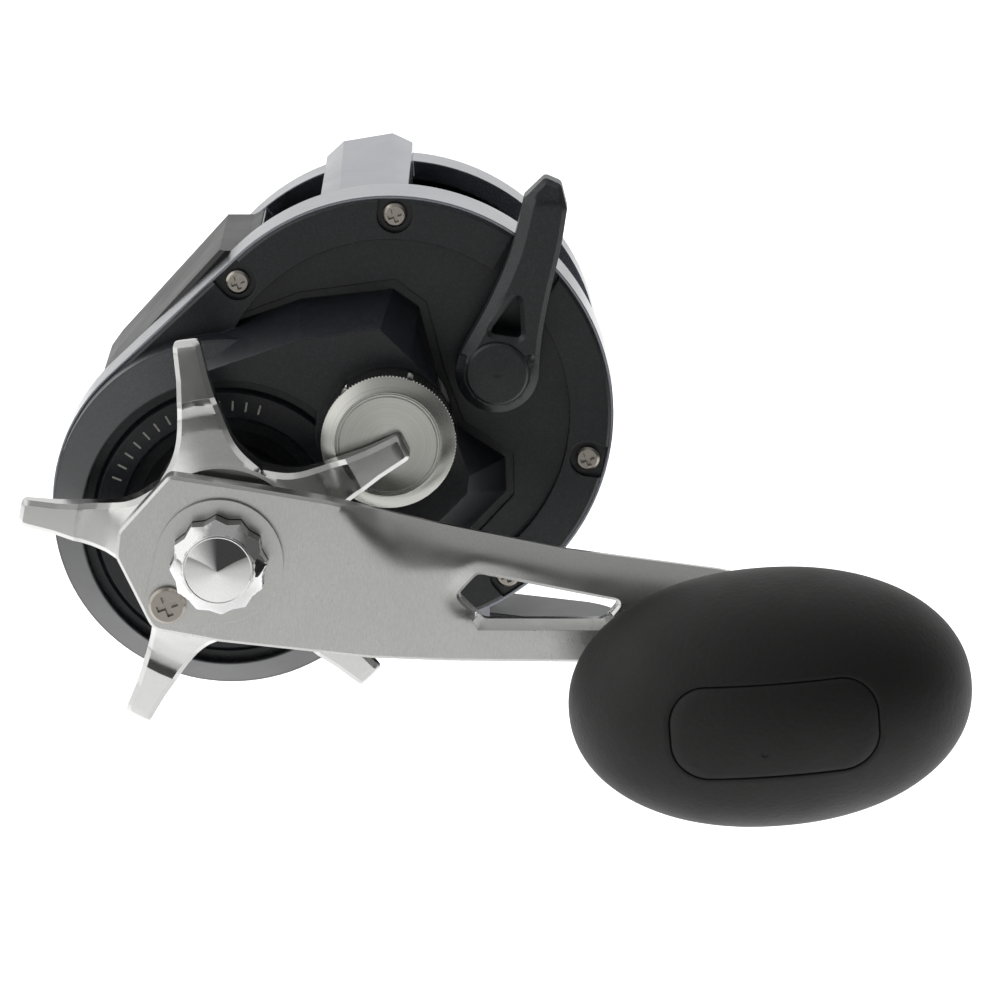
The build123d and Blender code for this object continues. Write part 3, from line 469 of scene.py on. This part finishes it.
def leathery(name, colour, rough):
    """Black rubber with a fine leather-like grain."""
    mat, tree, shader = material(name, colour, rough, specular=0.35)
    space = coords(tree)
    cells = tree.nodes.new("ShaderNodeTexVoronoi")
    cells.feature = "SMOOTH_F1"
    cells.inputs["Scale"].default_value = 1.15
    cells.inputs["Smoothness"].default_value = 0.6
    warp = tree.nodes.new("ShaderNodeTexNoise")
    warp.inputs["Scale"].default_value = 0.8
    warp.inputs["Detail"].default_value = 3.0
    tree.links.new(space, warp.inputs["Vector"])
    mixed = tree.nodes.new("ShaderNodeVectorMath")
    mixed.operation = "ADD"
    tree.links.new(space, mixed.inputs[0])
    tree.links.new(warp.outputs["Color"], mixed.inputs[1])
    tree.links.new(mixed.outputs[0], cells.inputs["Vector"])
    fine = noise(tree, space, 3.4, 4.0)
    dark, light = shade(colour)
    tree.links.new(tint(tree, cells.outputs["Distance"], light, dark, 0.1, 0.8), shader.inputs["Base Color"])
    sheen = remap(tree, noise(tree, space, 0.06), rough - 0.05, rough + 0.07)
    tree.links.new(sheen, shader.inputs["Roughness"])
    first = bump(tree, cells.outputs["Distance"], 0.35, 0.10 * MM)
    tree.links.new(bump(tree, fine, 0.25, 0.03 * MM, first), shader.inputs["Normal"])
    return mat


def turned(name, colour, rough, centre, rings=3.0, depth=0.004):
    """A turned metal face: fine rings about an axis across the plate, with a radial sheen."""
    mat, tree, shader = material(name, colour, rough, metallic=1.0, aniso=0.75)
    space = coords(tree, (1, 0, 1), spot(centre[0], centre[1], 0))
    length = tree.nodes.new("ShaderNodeVectorMath")
    length.operation = "LENGTH"
    tree.links.new(space, length.inputs[0])
    spread = tree.nodes.new("ShaderNodeCombineXYZ")
    tree.links.new(length.outputs["Value"], spread.inputs[0])
    fine = noise(tree, spread.outputs[0], rings, 5.0, 0.7)
    dark, light = shade(colour)
    tree.links.new(tint(tree, fine, dark, light), shader.inputs["Base Color"])
    tree.links.new(bump(tree, fine, 0.35, depth * MM, soft_edges(tree, 0.1)), shader.inputs["Normal"])
    tangent = tree.nodes.new("ShaderNodeTangent")
    tangent.direction_type = "RADIAL"
    tangent.axis = "Y"
    tree.links.new(tangent.outputs[0], shader.inputs["Tangent"])
    return mat


plate_blue = painted("plate_blue", (0.005, 0.006, 0.008), 0.34, specular=0.5)
frame_metal = satin_metal("frame_metal", (0.26, 0.27, 0.30), 0.20, depth=0.002, edges=0.35, smudge=0.04)
black_plastic = moulded("black_plastic", (0.005, 0.005, 0.0055), 0.42)
lever_paint = painted("lever_paint", (0.009, 0.010, 0.012), 0.38, fleck=0.3, edges=0.2)
satin_alloy = satin_metal("satin_alloy", (0.56, 0.56, 0.55), 0.20, edges=0.12)
arm_alloy = satin_metal("arm_alloy", (0.54, 0.54, 0.53), 0.30, grain=(3.0, 1.5, 0.5), depth=0.006, edges=0.12)
bright_chrome = satin_metal("bright_chrome", (0.66, 0.66, 0.66), 0.06, depth=0.0005, edges=0.1, smudge=0.02)
nickel = satin_metal("nickel", (0.36, 0.335, 0.30), 0.26, depth=0.003, edges=0.1)
steel = satin_metal("steel", (0.46, 0.46, 0.46), 0.28, edges=0.08)
brass = satin_metal("brass", (0.62, 0.46, 0.22), 0.26, edges=0.08)
spool_alloy = satin_metal("spool_alloy", (0.12, 0.125, 0.14), 0.24, edges=0.2)
carbon = moulded("carbon", (0.014, 0.014, 0.015), 0.5, grain=1.0)
soft_rubber = moulded("soft_rubber", (0.010, 0.010, 0.010), 0.6, specular=0.3)
grip_rubber = leathery("grip_rubber", (0.0030, 0.0030, 0.0029), 0.56)
knob_alloy = turned("knob_alloy", (0.50, 0.50, 0.47), 0.26, (0.0, 0.0))

LOOKS = {
    "frame_metal": frame_metal,
    "plate_blue": plate_blue,
    "black_plastic": black_plastic,
    "steel": steel,
    "nickel": nickel,
    "gear_brass": brass,
    "drag_carbon": carbon,
    "soft_rubber": soft_rubber,
    "grip_rubber": grip_rubber,
    "satin_alloy": satin_alloy,
    "brushed_alloy": arm_alloy,
    "turned_alloy": knob_alloy,
    "bright_chrome": bright_chrome,
    "spool_alloy": spool_alloy,
    "lever_charcoal": lever_paint,
}
for part in frame["record"]["subparts"]:
    node = nodes[part["node"]]
    node.data.materials.clear()
    node.data.materials.append(LOOKS[part["material_slot"]])


# ---------------------------------------------------------------- handle arm

ARM_TOP = top_of("handle_arm")
ARM_BACK = foot_of("handle_arm")
RIDGE = [(-9.4, -4.6), (-0.6, -18.0)]
CREASE = [(-0.6, -18.0), (12.0, -17.6), (40.0, -23.3), (66.0, -27.0)]
ARM_CREST = [(-9.4, -5.9), (7.4, -10.1), (30.0, -14.8), (56.0, -18.3), (70.0, -20.4)]


def along(line, x):
    """The z of a polyline at some x."""
    for (x0, z0), (x1, z1) in zip(line, line[1:]):
        if x <= x1:
            return z0 + (z1 - z0) * (x - x0) / (x1 - x0)
    return line[-1][1]


def right_of_ridge(x, z):
    """How far a point lies to the right of the ridge."""
    (x0, z0), (x1, z1) = RIDGE
    length = math.hypot(x1 - x0, z1 - z0)
    return ((x - x0) * -(z1 - z0) + (z - z0) * (x1 - x0)) / length


ARM_WINDOW = rounded([(11.9, -22.3), (15.3, -18.5), (39.4, -23.2), (36.6, -26.8), (16.4, -26.8)],
                     [1.2, 1.6, 0.8, 2.0, 1.6])


def arm_height(x, z, edge):
    """The face of the arm: a flat hub and lower bar, and an upper flank that rolls away."""
    drop = 0.0
    base = along(CREASE, x)
    crest = along(ARM_CREST, x)
    if z > base and x > -10:
        share = min(1.0, (z - base) / max(0.5, crest - base))
        drop = 2.9 * (0.32 * share + 0.68 * share**2.2)
        drop *= ease(right_of_ridge(x, z), -0.3, 5.5)
    to_window = distance(np.array([(x, z)]), WINDOW_EDGES)[0]
    if z < -25.5 and x < 38:
        bevel = max(0.0, 1.35 - to_window) * 1.9 if x > 15 else max(0.0, 1.1 - to_window) * 1.2
    else:
        bevel = max(0.0, 0.45 - to_window) * 0.9
        halo = 1 - ease(to_window, 0.3, 3.0)
        drop += 0.45 * halo * (1 - ease(x, 16, 34)) * ease(z, -28.5, -25.0)
    rim = max(0.0, 0.5 - edge) * 0.9 if to_window > 1.6 else 0.0
    rim *= 0.25 + 0.75 * (1 - ease(right_of_ridge(x, z), -2.0, 2.0) * (1.0 if z > base else 0.0))
    return ARM_TOP - 0.02 - drop - bevel - rim


WINDOW_EDGES = segments(ARM_WINDOW)
ARM_OUTLINE = rounded(
    [(-36.3, -1.5), (-44.9, -11.2), (-45.4, -15.6), (-39.4, -28.2), (-28.1, -30.3), (-15.4, -31.7),
     (-2.8, -33.1), (10.0, -33.6), (33.6, -33.8), (36.4, -37.6), (46.0, -41.2), (56.0, -43.0), (66.0, -42.2),
     (72.4, -37.5), (73.0, -28.5), (66.5, -20.6), (56.0, -18.3), (30.0, -14.8), (7.4, -10.1), (-9.4, -5.9),
     (-22.7, -3.6)],
    [1.8, 2.0, 2.2, 3.2, 6, 6, 6, 6, 1.4, 2.0, 6, 6, 6, 6, 6, 6, 6, 6, 6, 6, 6], parts=5)
bm = bmesh.new()
relief(bm, ARM_OUTLINE, arm_height, ARM_BACK,
       holes=[ARM_WINDOW, [polar(4.0, 10 * k, DRIVE) for k in range(36)],
              [polar(3.0, 15 * k, GRIP) for k in range(24)]],
       rims=(0.5,), cell=0.9)
finish_mesh(bm, "arm_forging", "crank", "handle_arm", arm_alloy, sharp=24)

# ---------------------------------------------------------------- star

FIRST_ARM = 100.0
STAR_PROFILE = [(0, 32.0), (14.4, 32.0), (14.9, 31.4), (15.4, 30.6), (17.5, 28.6), (20.0, 27.0), (22.5, 26.4),
                (24.2, 26.5), (25.4, 27.0), (33.6, 25.3), (34.5, 24.9), (35.3, 23.8)]
STAR_UNDER = [(0, 25.9), (8.2, 25.9), (8.25, 19.6), (11.4, 19.6), (12.2, 24.4), (16.0, 24.0), (24.0, 22.4),
              (35.3, 22.3)]
STAR_CHAMFER = 0.8


def profile_at(profile, radius):
    """The height of a turned profile at a radius."""
    for (r0, h0), (r1, h1) in zip(profile, profile[1:]):
        if radius <= r1:
            return h0 + (h1 - h0) * (radius - r0) / (r1 - r0)
    return profile[-1][1]


def star_height(x, z, edge):
    """The face of the star: a hub disc, dished arms with flat ends, and bright chamfers."""
    radius = math.hypot(x - DRIVE[0], z - DRIVE[1])
    chamfer = max(0.0, STAR_CHAMFER - edge) * 0.95 if radius > 15.3 else 0.0
    return profile_at(STAR_PROFILE, radius) - chamfer - 0.01


def star_under(x, z):
    """The back of the star."""
    return profile_at(STAR_UNDER, math.hypot(x - DRIVE[0], z - DRIVE[1]))


star_outline = []
for arm in range(5):
    angle = FIRST_ARM + 72 * arm
    rise = through([polar(15.3, angle - 36, DRIVE), polar(17.0, angle - 20.5, DRIVE),
                    polar(19.6, angle - 13.2, DRIVE),
                    polar(24.0, angle - 8.3, DRIVE), polar(29.0, angle - 5.3, DRIVE)])
    tip = rounded([polar(26.0, angle - 6.6, DRIVE), polar(35.0, angle - 3.7, DRIVE),
                   polar(35.2, angle + 3.7, DRIVE),
                   polar(26.0, angle + 6.6, DRIVE)], [0, 1.1, 1.1, 0], parts=5)[1:-1]
    fall = through([polar(29.0, angle + 5.3, DRIVE), polar(24.0, angle + 8.3, DRIVE),
                    polar(19.6, angle + 13.2, DRIVE),
                    polar(17.0, angle + 20.5, DRIVE), polar(15.3, angle + 36, DRIVE)])
    star_outline += rise + tip + fall[:-1]
star_creases = [[polar(radius, 5 * k, DRIVE) for k in range(73)] for radius in (14.4, 14.9, 15.4)]
for arm in range(5):
    angle = FIRST_ARM + 72 * arm
    star_creases += [[polar(25.4, angle + turn, DRIVE) for turn in (-9, -4.5, 0, 4.5, 9)]]
    star_creases += [[polar(33.6, angle + turn, DRIVE) for turn in (-5, 0, 5)]]
bm = bmesh.new()
relief(bm, star_outline, star_height, star_under,
       holes=[[polar(5.4, 10 * k, DRIVE) for k in range(36)]],
       creases=star_creases, rims=(STAR_CHAMFER,), cell=0.8)
finish_mesh(bm, "star_forging", "star", "star_drag", satin_alloy, sharp=15)

# ---------------------------------------------------------------- handle nut

NUT_TOP = top_of("handle_nut")
NUT_FOOT = foot_of("handle_nut")
flange = []
for point in range(12):
    flange += [polar(8.2, 30 * point + 3, DRIVE), polar(7.5, 30 * point + 18, DRIVE)]
NUT_SHOULDER = NUT_TOP - 1.5


def flange_height(x, z, edge):
    """The nut's twelve-point face, coned from the shoulder down to its corners."""
    radius = math.hypot(x - DRIVE[0], z - DRIVE[1])
    return NUT_SHOULDER - 0.02 - 0.827 * max(0.0, radius - 6.0) - max(0.0, 0.3 - edge) * 0.6


bm = bmesh.new()
relief(bm, rounded(flange, 0.18, parts=3), flange_height, NUT_FOOT + 0.1,
       holes=[[polar(5.0, 10 * k, DRIVE) for k in range(36)]], cell=0.45)
lathe(bm, DRIVE, [(4.8, NUT_SHOULDER - 0.9), (5.98, NUT_SHOULDER - 0.02), (5.86, NUT_SHOULDER + 0.14),
                  (5.66, NUT_SHOULDER + 0.19), (5.52, NUT_SHOULDER + 0.12), (5.4, NUT_SHOULDER + 0.16),
                  (0.9, NUT_TOP - 0.2), (0.4, NUT_TOP - 0.1), (0.15, NUT_TOP - 0.06), (0, NUT_TOP - 0.05)],
      parts=128)
finish_mesh(bm, "nut_coned", "crank", "handle_nut", bright_chrome, sharp=22)

# ---------------------------------------------------------------- cast control knob

CAST_TOP = top_of("cast_control_knob")
CAST_FOOT = foot_of("cast_control_knob")
NOTCHES = [11 + 60 * k for k in range(6)]
cast_profile = [(9.2, CAST_FOOT), (11.2, CAST_FOOT), (11.6, CAST_FOOT + 0.45), (11.62, CAST_TOP - 1.75),
                (11.45, CAST_TOP - 1.5), (9.25, CAST_TOP - 0.1), (9.0, CAST_TOP - 0.04),
                (8.94, CAST_TOP - 0.3), (8.78, CAST_TOP - 0.3), (8.72, CAST_TOP - 0.05),
                (8.45, CAST_TOP - 0.05), (8.4, CAST_TOP - 0.2),
                (8.3, CAST_TOP - 0.2), (8.25, CAST_TOP - 0.03), (4.0, CAST_TOP - 0.01), (0, CAST_TOP)]


def knurl(index, angle):
    """The knurl's teeth, and the notches between its lands."""
    if index not in (2, 3):
        return 0.0
    turn = math.degrees(angle)
    near = min(abs((turn - notch + 180) % 360 - 180) for notch in NOTCHES)
    return -0.08 - 0.07 * math.cos(angle * 120) - 0.75 * (1 - ease(near, 1.6, 2.6))


bm = bmesh.new()
lathe(bm, (0.0, 0.0), cast_profile, parts=720, wobble=knurl)
finish_mesh(bm, "cast_knob_turned", "cast_control", "cast_control_knob", knob_alloy, sharp=22)

# ---------------------------------------------------------------- clutch lever

LEVER_TOP = top_of("clutch_lever")
LEVER_BACK = foot_of("clutch_lever")
lever_rear = through([(11.2, 9.2), (12.4, 12.6), (16.9, 20.9), (20.8, 30.2), (23.1, 39.4)])
lever_fore = through([(30.4, 37.6), (29.3, 30.8), (27.1, 21.2), (26.0, 14.4), (25.6, 8.8)])
lever_tip = rounded([lever_rear[-1], (26.6, 42.8), (29.4, 41.6), lever_fore[0]], [0, 1.0, 1.2, 0])
lever_boss = [polar(7.2, -6 - 8.4 * k, LEVER) for k in range(21)]
LEVER_REAR = segments(lever_rear, closed=False)


def lever_height(x, z, edge):
    """The lever's face, with a wide bevel down its rear flank and a narrow one in front."""
    rear = distance(np.array([(x, z)]), LEVER_REAR)[0]
    wide = 1.9 * ease(z, 6.0, 13.0)
    drop = max(0.0, wide - rear) * 0.75 if wide > 0.1 else 0.0
    drop = max(drop, max(0.0, 0.85 - edge) * 0.8)
    tip = ease(z, 38.2, 42.8) * 1.6
    boss_step = 0.5 * ease(math.hypot(x - LEVER[0], z - LEVER[1]), 5.6, 6.4) * (z < 12)
    return LEVER_TOP - 0.02 - drop - tip - boss_step


bm = bmesh.new()
relief(bm, lever_rear + lever_tip[1:-1] + lever_fore + lever_boss, lever_height, LEVER_BACK,
       holes=[rounded([(22.1, 23.2), (22.6, 15.0), (16.9, 15.9)], 0.9)], rims=(0.85, 1.9), cell=0.6)
finish_mesh(bm, "lever_moulding", "lever", "clutch_lever", lever_paint, sharp=22)

# ---------------------------------------------------------------- power knob

GRIP_H = (top_of("knob_grip") + foot_of("knob_grip") + 0.43) / 2
GRIP_TILT = math.radians(4.5)
HALF_LONG, HALF_WIDE, FULLNESS = 33.2, 21.3, 2.12
INSET_LONG, INSET_WIDE = 16.9, 7.7
SPOKES = 240


def grip_point(u, v, side):
    """A point of the grip from its own long and short coordinates, on its front or back."""
    reach = HALF_WIDE * max(0.0, 1 - min(1.0, abs(u) / HALF_LONG) ** FULLNESS) ** (1 / FULLNESS)
    depth = math.sqrt(max(0.0, reach * reach - v * v))
    return u, v, side * depth


def grip_spot(u, v, w):
    """The grip's own coordinates as a point of the row frame."""
    x = GRIP[0] + u * math.cos(GRIP_TILT) - v * math.sin(GRIP_TILT)
    z = GRIP[1] + u * math.sin(GRIP_TILT) + v * math.cos(GRIP_TILT)
    return spot(x, z, GRIP_H + w)


def rim_of_grip(angle):
    """The grip's silhouette at an angle."""
    c, s = math.cos(angle), math.sin(angle)
    size = (abs(c / HALF_LONG) ** FULLNESS + abs(s / HALF_WIDE) ** FULLNESS) ** (-1 / FULLNESS)
    return size * c, size * s


def racetrack(angle, grow=0.0):
    """The outline of the inset panel at an angle, grown by a distance."""
    half = INSET_LONG + grow
    wide = INSET_WIDE + grow
    corner = 6.2 + grow
    c, s = math.cos(angle), math.sin(angle)
    low, high = 0.0, 40.0
    for _ in range(30):
        size = (low + high) / 2
        qx, qz = abs(size * c) - (half - corner), abs(size * s) - (wide - corner)
        out = math.hypot(max(qx, 0), max(qz, 0)) + min(max(qx, qz), 0) - corner
        low, high = (size, high) if out < 0 else (low, size)
    return low * c, low * s


angles = [2 * math.pi * k / SPOKES for k in range(SPOKES)]
bm = bmesh.new()
front = []
centre_top = bm.verts.new(grip_spot(*grip_point(0, 0, 1)))
for share in (0.15, 0.35, 0.55, 0.75, 0.9):
    front.append([(share * racetrack(a, -0.3)[0], share * racetrack(a, -0.3)[1], 0.0) for a in angles])
for grow, sink in ((-0.30, 0.0), (-0.14, 0.12), (0.0, 0.42), (0.14, 0.12), (0.30, 0.0)):
    front.append([(*racetrack(a, grow), sink) for a in angles])
for k in range(1, 27):
    share = math.sin(math.pi / 2 * k / 26)
    ring = []
    for a in angles:
        (x0, z0), (x1, z1) = racetrack(a, 0.3), rim_of_grip(a)
        ring.append((x0 + (x1 - x0) * share, z0 + (z1 - z0) * share, 0.0))
    front.append(ring)
rings = []
for ring in front:
    made = []
    for u, v, sink in ring:
        gu, gv, gw = grip_point(u, v, 1)
        made.append(bm.verts.new(grip_spot(gu, gv, gw - sink)))
    rings.append(made)
COLLAR = 12.0
for k in range(1, 27):
    share = math.cos(math.pi / 2 * k / 26)
    made = []
    for a in angles:
        x0, z0 = COLLAR * math.cos(a), COLLAR * math.sin(a)
        x1, z1 = rim_of_grip(a)
        made.append(bm.verts.new(grip_spot(*grip_point(x0 + (x1 - x0) * share, z0 + (z1 - z0) * share, -1))))
    rings.append(made)
for radius, depth in ((11.7, 1.3), (9.65, 1.3), (9.65, 12.0)):
    made = []
    for a in angles:
        low = -HALF_WIDE + 0.6 + depth
        made.append(bm.verts.new(grip_spot(radius * math.cos(a), radius * math.sin(a), low)))
    rings.append(made)
for k in range(SPOKES):
    bm.faces.new([centre_top, rings[0][k], rings[0][(k + 1) % SPOKES]])
for inner, outer in zip(rings, rings[1:]):
    for k in range(SPOKES):
        j = (k + 1) % SPOKES
        bm.faces.new([inner[k], outer[k], outer[j], inner[j]])
bm.faces.new(list(reversed(rings[-1])))
finish_mesh(bm, "grip_moulding", "knob", "knob_grip", grip_rubber, sharp=50)

# the small vent in the inset panel
bm = bmesh.new()
vent = (-1.9, -3.4)
_, _, vent_w = grip_point(*vent, 1)
vent_rings = []
for radius, lift in ((0.95, -0.03), (0.62, 0.05), (0.5, -0.3), (0.0, -0.3)):
    if radius:
        ring = []
        for a in angles[::10]:
            place = (vent[0] + radius * math.cos(a), vent[1] + radius * math.sin(a))
            ring.append(bm.verts.new(grip_spot(*place, vent_w + lift)))
        vent_rings.append(ring)
    else:
        vent_rings.append([bm.verts.new(grip_spot(vent[0], vent[1], vent_w + lift))])
for inner, outer in zip(vent_rings[:-2], vent_rings[1:-1]):
    for k in range(len(inner)):
        j = (k + 1) % len(inner)
        bm.faces.new([inner[k], inner[j], outer[j], outer[k]])
for k in range(len(vent_rings[-2])):
    bm.faces.new([vent_rings[-2][k], vent_rings[-2][(k + 1) % len(vent_rings[-2])], vent_rings[-1][0]])
finish_mesh(bm, "grip_vent", "knob", None, soft_rubber, sharp=40)

# ---------------------------------------------------------------- plain marks in the gear cover's well

marks, marks_tree, marks_shader = material("mark_paint", (0.30, 0.29, 0.27), 0.55)
marks_grain = noise(marks_tree, coords(marks_tree), 2.0)
marks_tree.links.new(tint(marks_tree, marks_grain, (0.24, 0.23, 0.21), (0.34, 0.33, 0.30)),
                     marks_shader.inputs["Base Color"])
bm = bmesh.new()
WELL_BAND = 11.32
for angle in [100 + 6.5 * k for k in range(-4, 10)]:
    middle = polar(20.4, angle, DRIVE)
    out = Vector(polar(1, angle))
    side = Vector((-out.y, out.x))
    corners = [Vector(middle) + out * 0.85 * a + side * 0.16 * b for a, b in
               ((-1, -0.7), (-0.9, -1), (0.9, -1), (1, -0.7), (1, 0.7), (0.9, 1), (-0.9, 1), (-1, 0.7))]
    lower = [bm.verts.new(spot(c.x, c.y, WELL_BAND - 0.05)) for c in corners]
    upper = [bm.verts.new(spot(c.x, c.y, WELL_BAND + 0.03)) for c in corners]
    bm.faces.new(upper)
    bm.faces.new(list(reversed(lower)))
    for k in range(8):
        j = (k + 1) % 8
        bm.faces.new([lower[k], lower[j], upper[j], upper[k]])
finish_mesh(bm, "plain_marks", "reel_body", None, marks)

# ---------------------------------------------------------------- floor, light and camera

FLOOR_Z = -0.105


def plane(name, size, location, mat):
    """A flat stage piece."""
    bm = bmesh.new()
    corners = [bm.verts.new((x * size, y * size, 0)) for x, y in ((-1, -1), (1, -1), (1, 1), (-1, 1))]
    bm.faces.new(corners)
    mesh = bpy.data.meshes.new(name)
    bm.to_mesh(mesh)
    bm.free()
    mesh.materials.append(mat)
    piece = bpy.data.objects.new(name, mesh)
    piece.location = location
    bpy.context.scene.collection.objects.link(piece)
    return piece




def ramp(tree, value, start, end):
    """A smooth step from 0 to 1 as a value goes from start to end."""
    step = tree.nodes.new("ShaderNodeMapRange")
    step.interpolation_type = "SMOOTHSTEP"
    step.inputs["From Min"].default_value = start
    step.inputs["From Max"].default_value = end
    tree.links.new(value, step.inputs["Value"])
    return step.outputs[0]


def towards(tree, share, before, level):
    """A grey that goes over to another level as the share rises."""
    mix = tree.nodes.new("ShaderNodeMix")
    mix.data_type = "RGBA"
    tree.links.new(share, mix.inputs["Factor"])
    if isinstance(before, float):
        mix.inputs["A"].default_value = (before, before, before, 1)
    else:
        tree.links.new(before, mix.inputs["A"])
    mix.inputs["B"].default_value = (level, level, level * 0.99, 1)
    return mix.outputs["Result"]


# The floor's colour goes from 0.86 behind the reel to 0.5 towards the camera (from y 0 to -0.4): painted shade,
# standing in for dimmer light on the floor in front of the reel.
floor_painted_shade, floor_tree, floor_shader = material("floor_painted_shade", (0.86, 0.86, 0.86), 0.9, specular=0.1)
floor_place = floor_tree.nodes.new("ShaderNodeTexCoord")
floor_split = floor_tree.nodes.new("ShaderNodeSeparateXYZ")
floor_tree.links.new(floor_place.outputs["Object"], floor_split.inputs[0])
floor_tree.links.new(towards(floor_tree, ramp(floor_tree, floor_split.outputs["Y"], 0.0, -0.4), 0.86, 0.5),
                     floor_shader.inputs["Base Color"])
plane("floor", 6.0, (0, 0, FLOOR_Z), floor_painted_shade)


def softbox(name, location, target, size, radiance):
    """A rectangular area light that looks equally bright from everywhere in front of it."""
    lamp = bpy.data.lights.new(name, "AREA")
    lamp.shape = "RECTANGLE"
    lamp.size, lamp.size_y = size
    lamp.energy = radiance * math.pi * size[0] * size[1]
    piece = bpy.data.objects.new(name, lamp)
    piece.location = location
    piece.rotation_euler = (Vector(target) - Vector(location)).to_track_quat("-Z", "Y").to_euler()
    piece.visible_glossy = False
    bpy.context.scene.collection.objects.link(piece)


softbox("overhead", (-0.15, 0.35, 1.3), (0, 0.2, 0), (1.8, 1.4), 4.6)

world = bpy.data.worlds.new("studio")
bpy.context.scene.world = world
world.use_nodes = True
tree = world.node_tree
back = tree.nodes["Background"]
place = tree.nodes.new("ShaderNodeTexCoord")
split = tree.nodes.new("ShaderNodeSeparateXYZ")
tree.links.new(place.outputs["Generated"], split.inputs[0])
across, away, above = split.outputs["X"], split.outputs["Y"], split.outputs["Z"]
room = towards(tree, ramp(tree, across, -0.25, -0.7), 0.42, 1.4)
room = towards(tree, ramp(tree, across, 0.35, 0.8), room, 0.14)
room = towards(tree, ramp(tree, away, 0.0, 0.5), room, 1.0)
dark_front = tree.nodes.new("ShaderNodeMath")
dark_front.operation = "MULTIPLY"
tree.links.new(ramp(tree, away, -0.45, -0.75), dark_front.inputs[0])
tree.links.new(ramp(tree, above, 0.6, 0.42), dark_front.inputs[1])
dark_patch = tree.nodes.new("ShaderNodeMath")
dark_patch.operation = "MULTIPLY"
tree.links.new(dark_front.outputs[0], dark_patch.inputs[0])
tree.links.new(ramp(tree, across, -0.32, -0.05), dark_patch.inputs[1])
room = towards(tree, dark_patch.outputs[0], room, 0.07)
tree.links.new(room, back.inputs["Color"])
back.inputs["Strength"].default_value = 1.0

AZIMUTH, ELEVATION = math.radians(0.3), math.radians(14.2)
DISTANCE = 1.0
FIELD = 0.1733
right = Vector((math.cos(AZIMUTH), math.sin(AZIMUTH), 0))
backward = Vector((math.sin(AZIMUTH) * math.cos(ELEVATION), -math.cos(AZIMUTH) * math.cos(ELEVATION),
                   math.sin(ELEVATION)))
upward = backward.cross(right)
lens = bpy.data.cameras.new("camera")
lens.sensor_width = 36
lens.lens = 36 * DISTANCE / FIELD
lens.clip_start, lens.clip_end = 0.05, 30
camera = bpy.data.objects.new("camera", lens)
bpy.context.scene.collection.objects.link(camera)
bpy.context.scene.camera = camera
camera.location = spot(0, 0, 0) + right * 0.01889 - upward * 0.01473 + backward * DISTANCE
camera.rotation_mode = "QUATERNION"
camera.rotation_quaternion = (-backward).to_track_quat("-Z", "Y")
bpy.context.scene.view_settings.view_transform = "Standard"
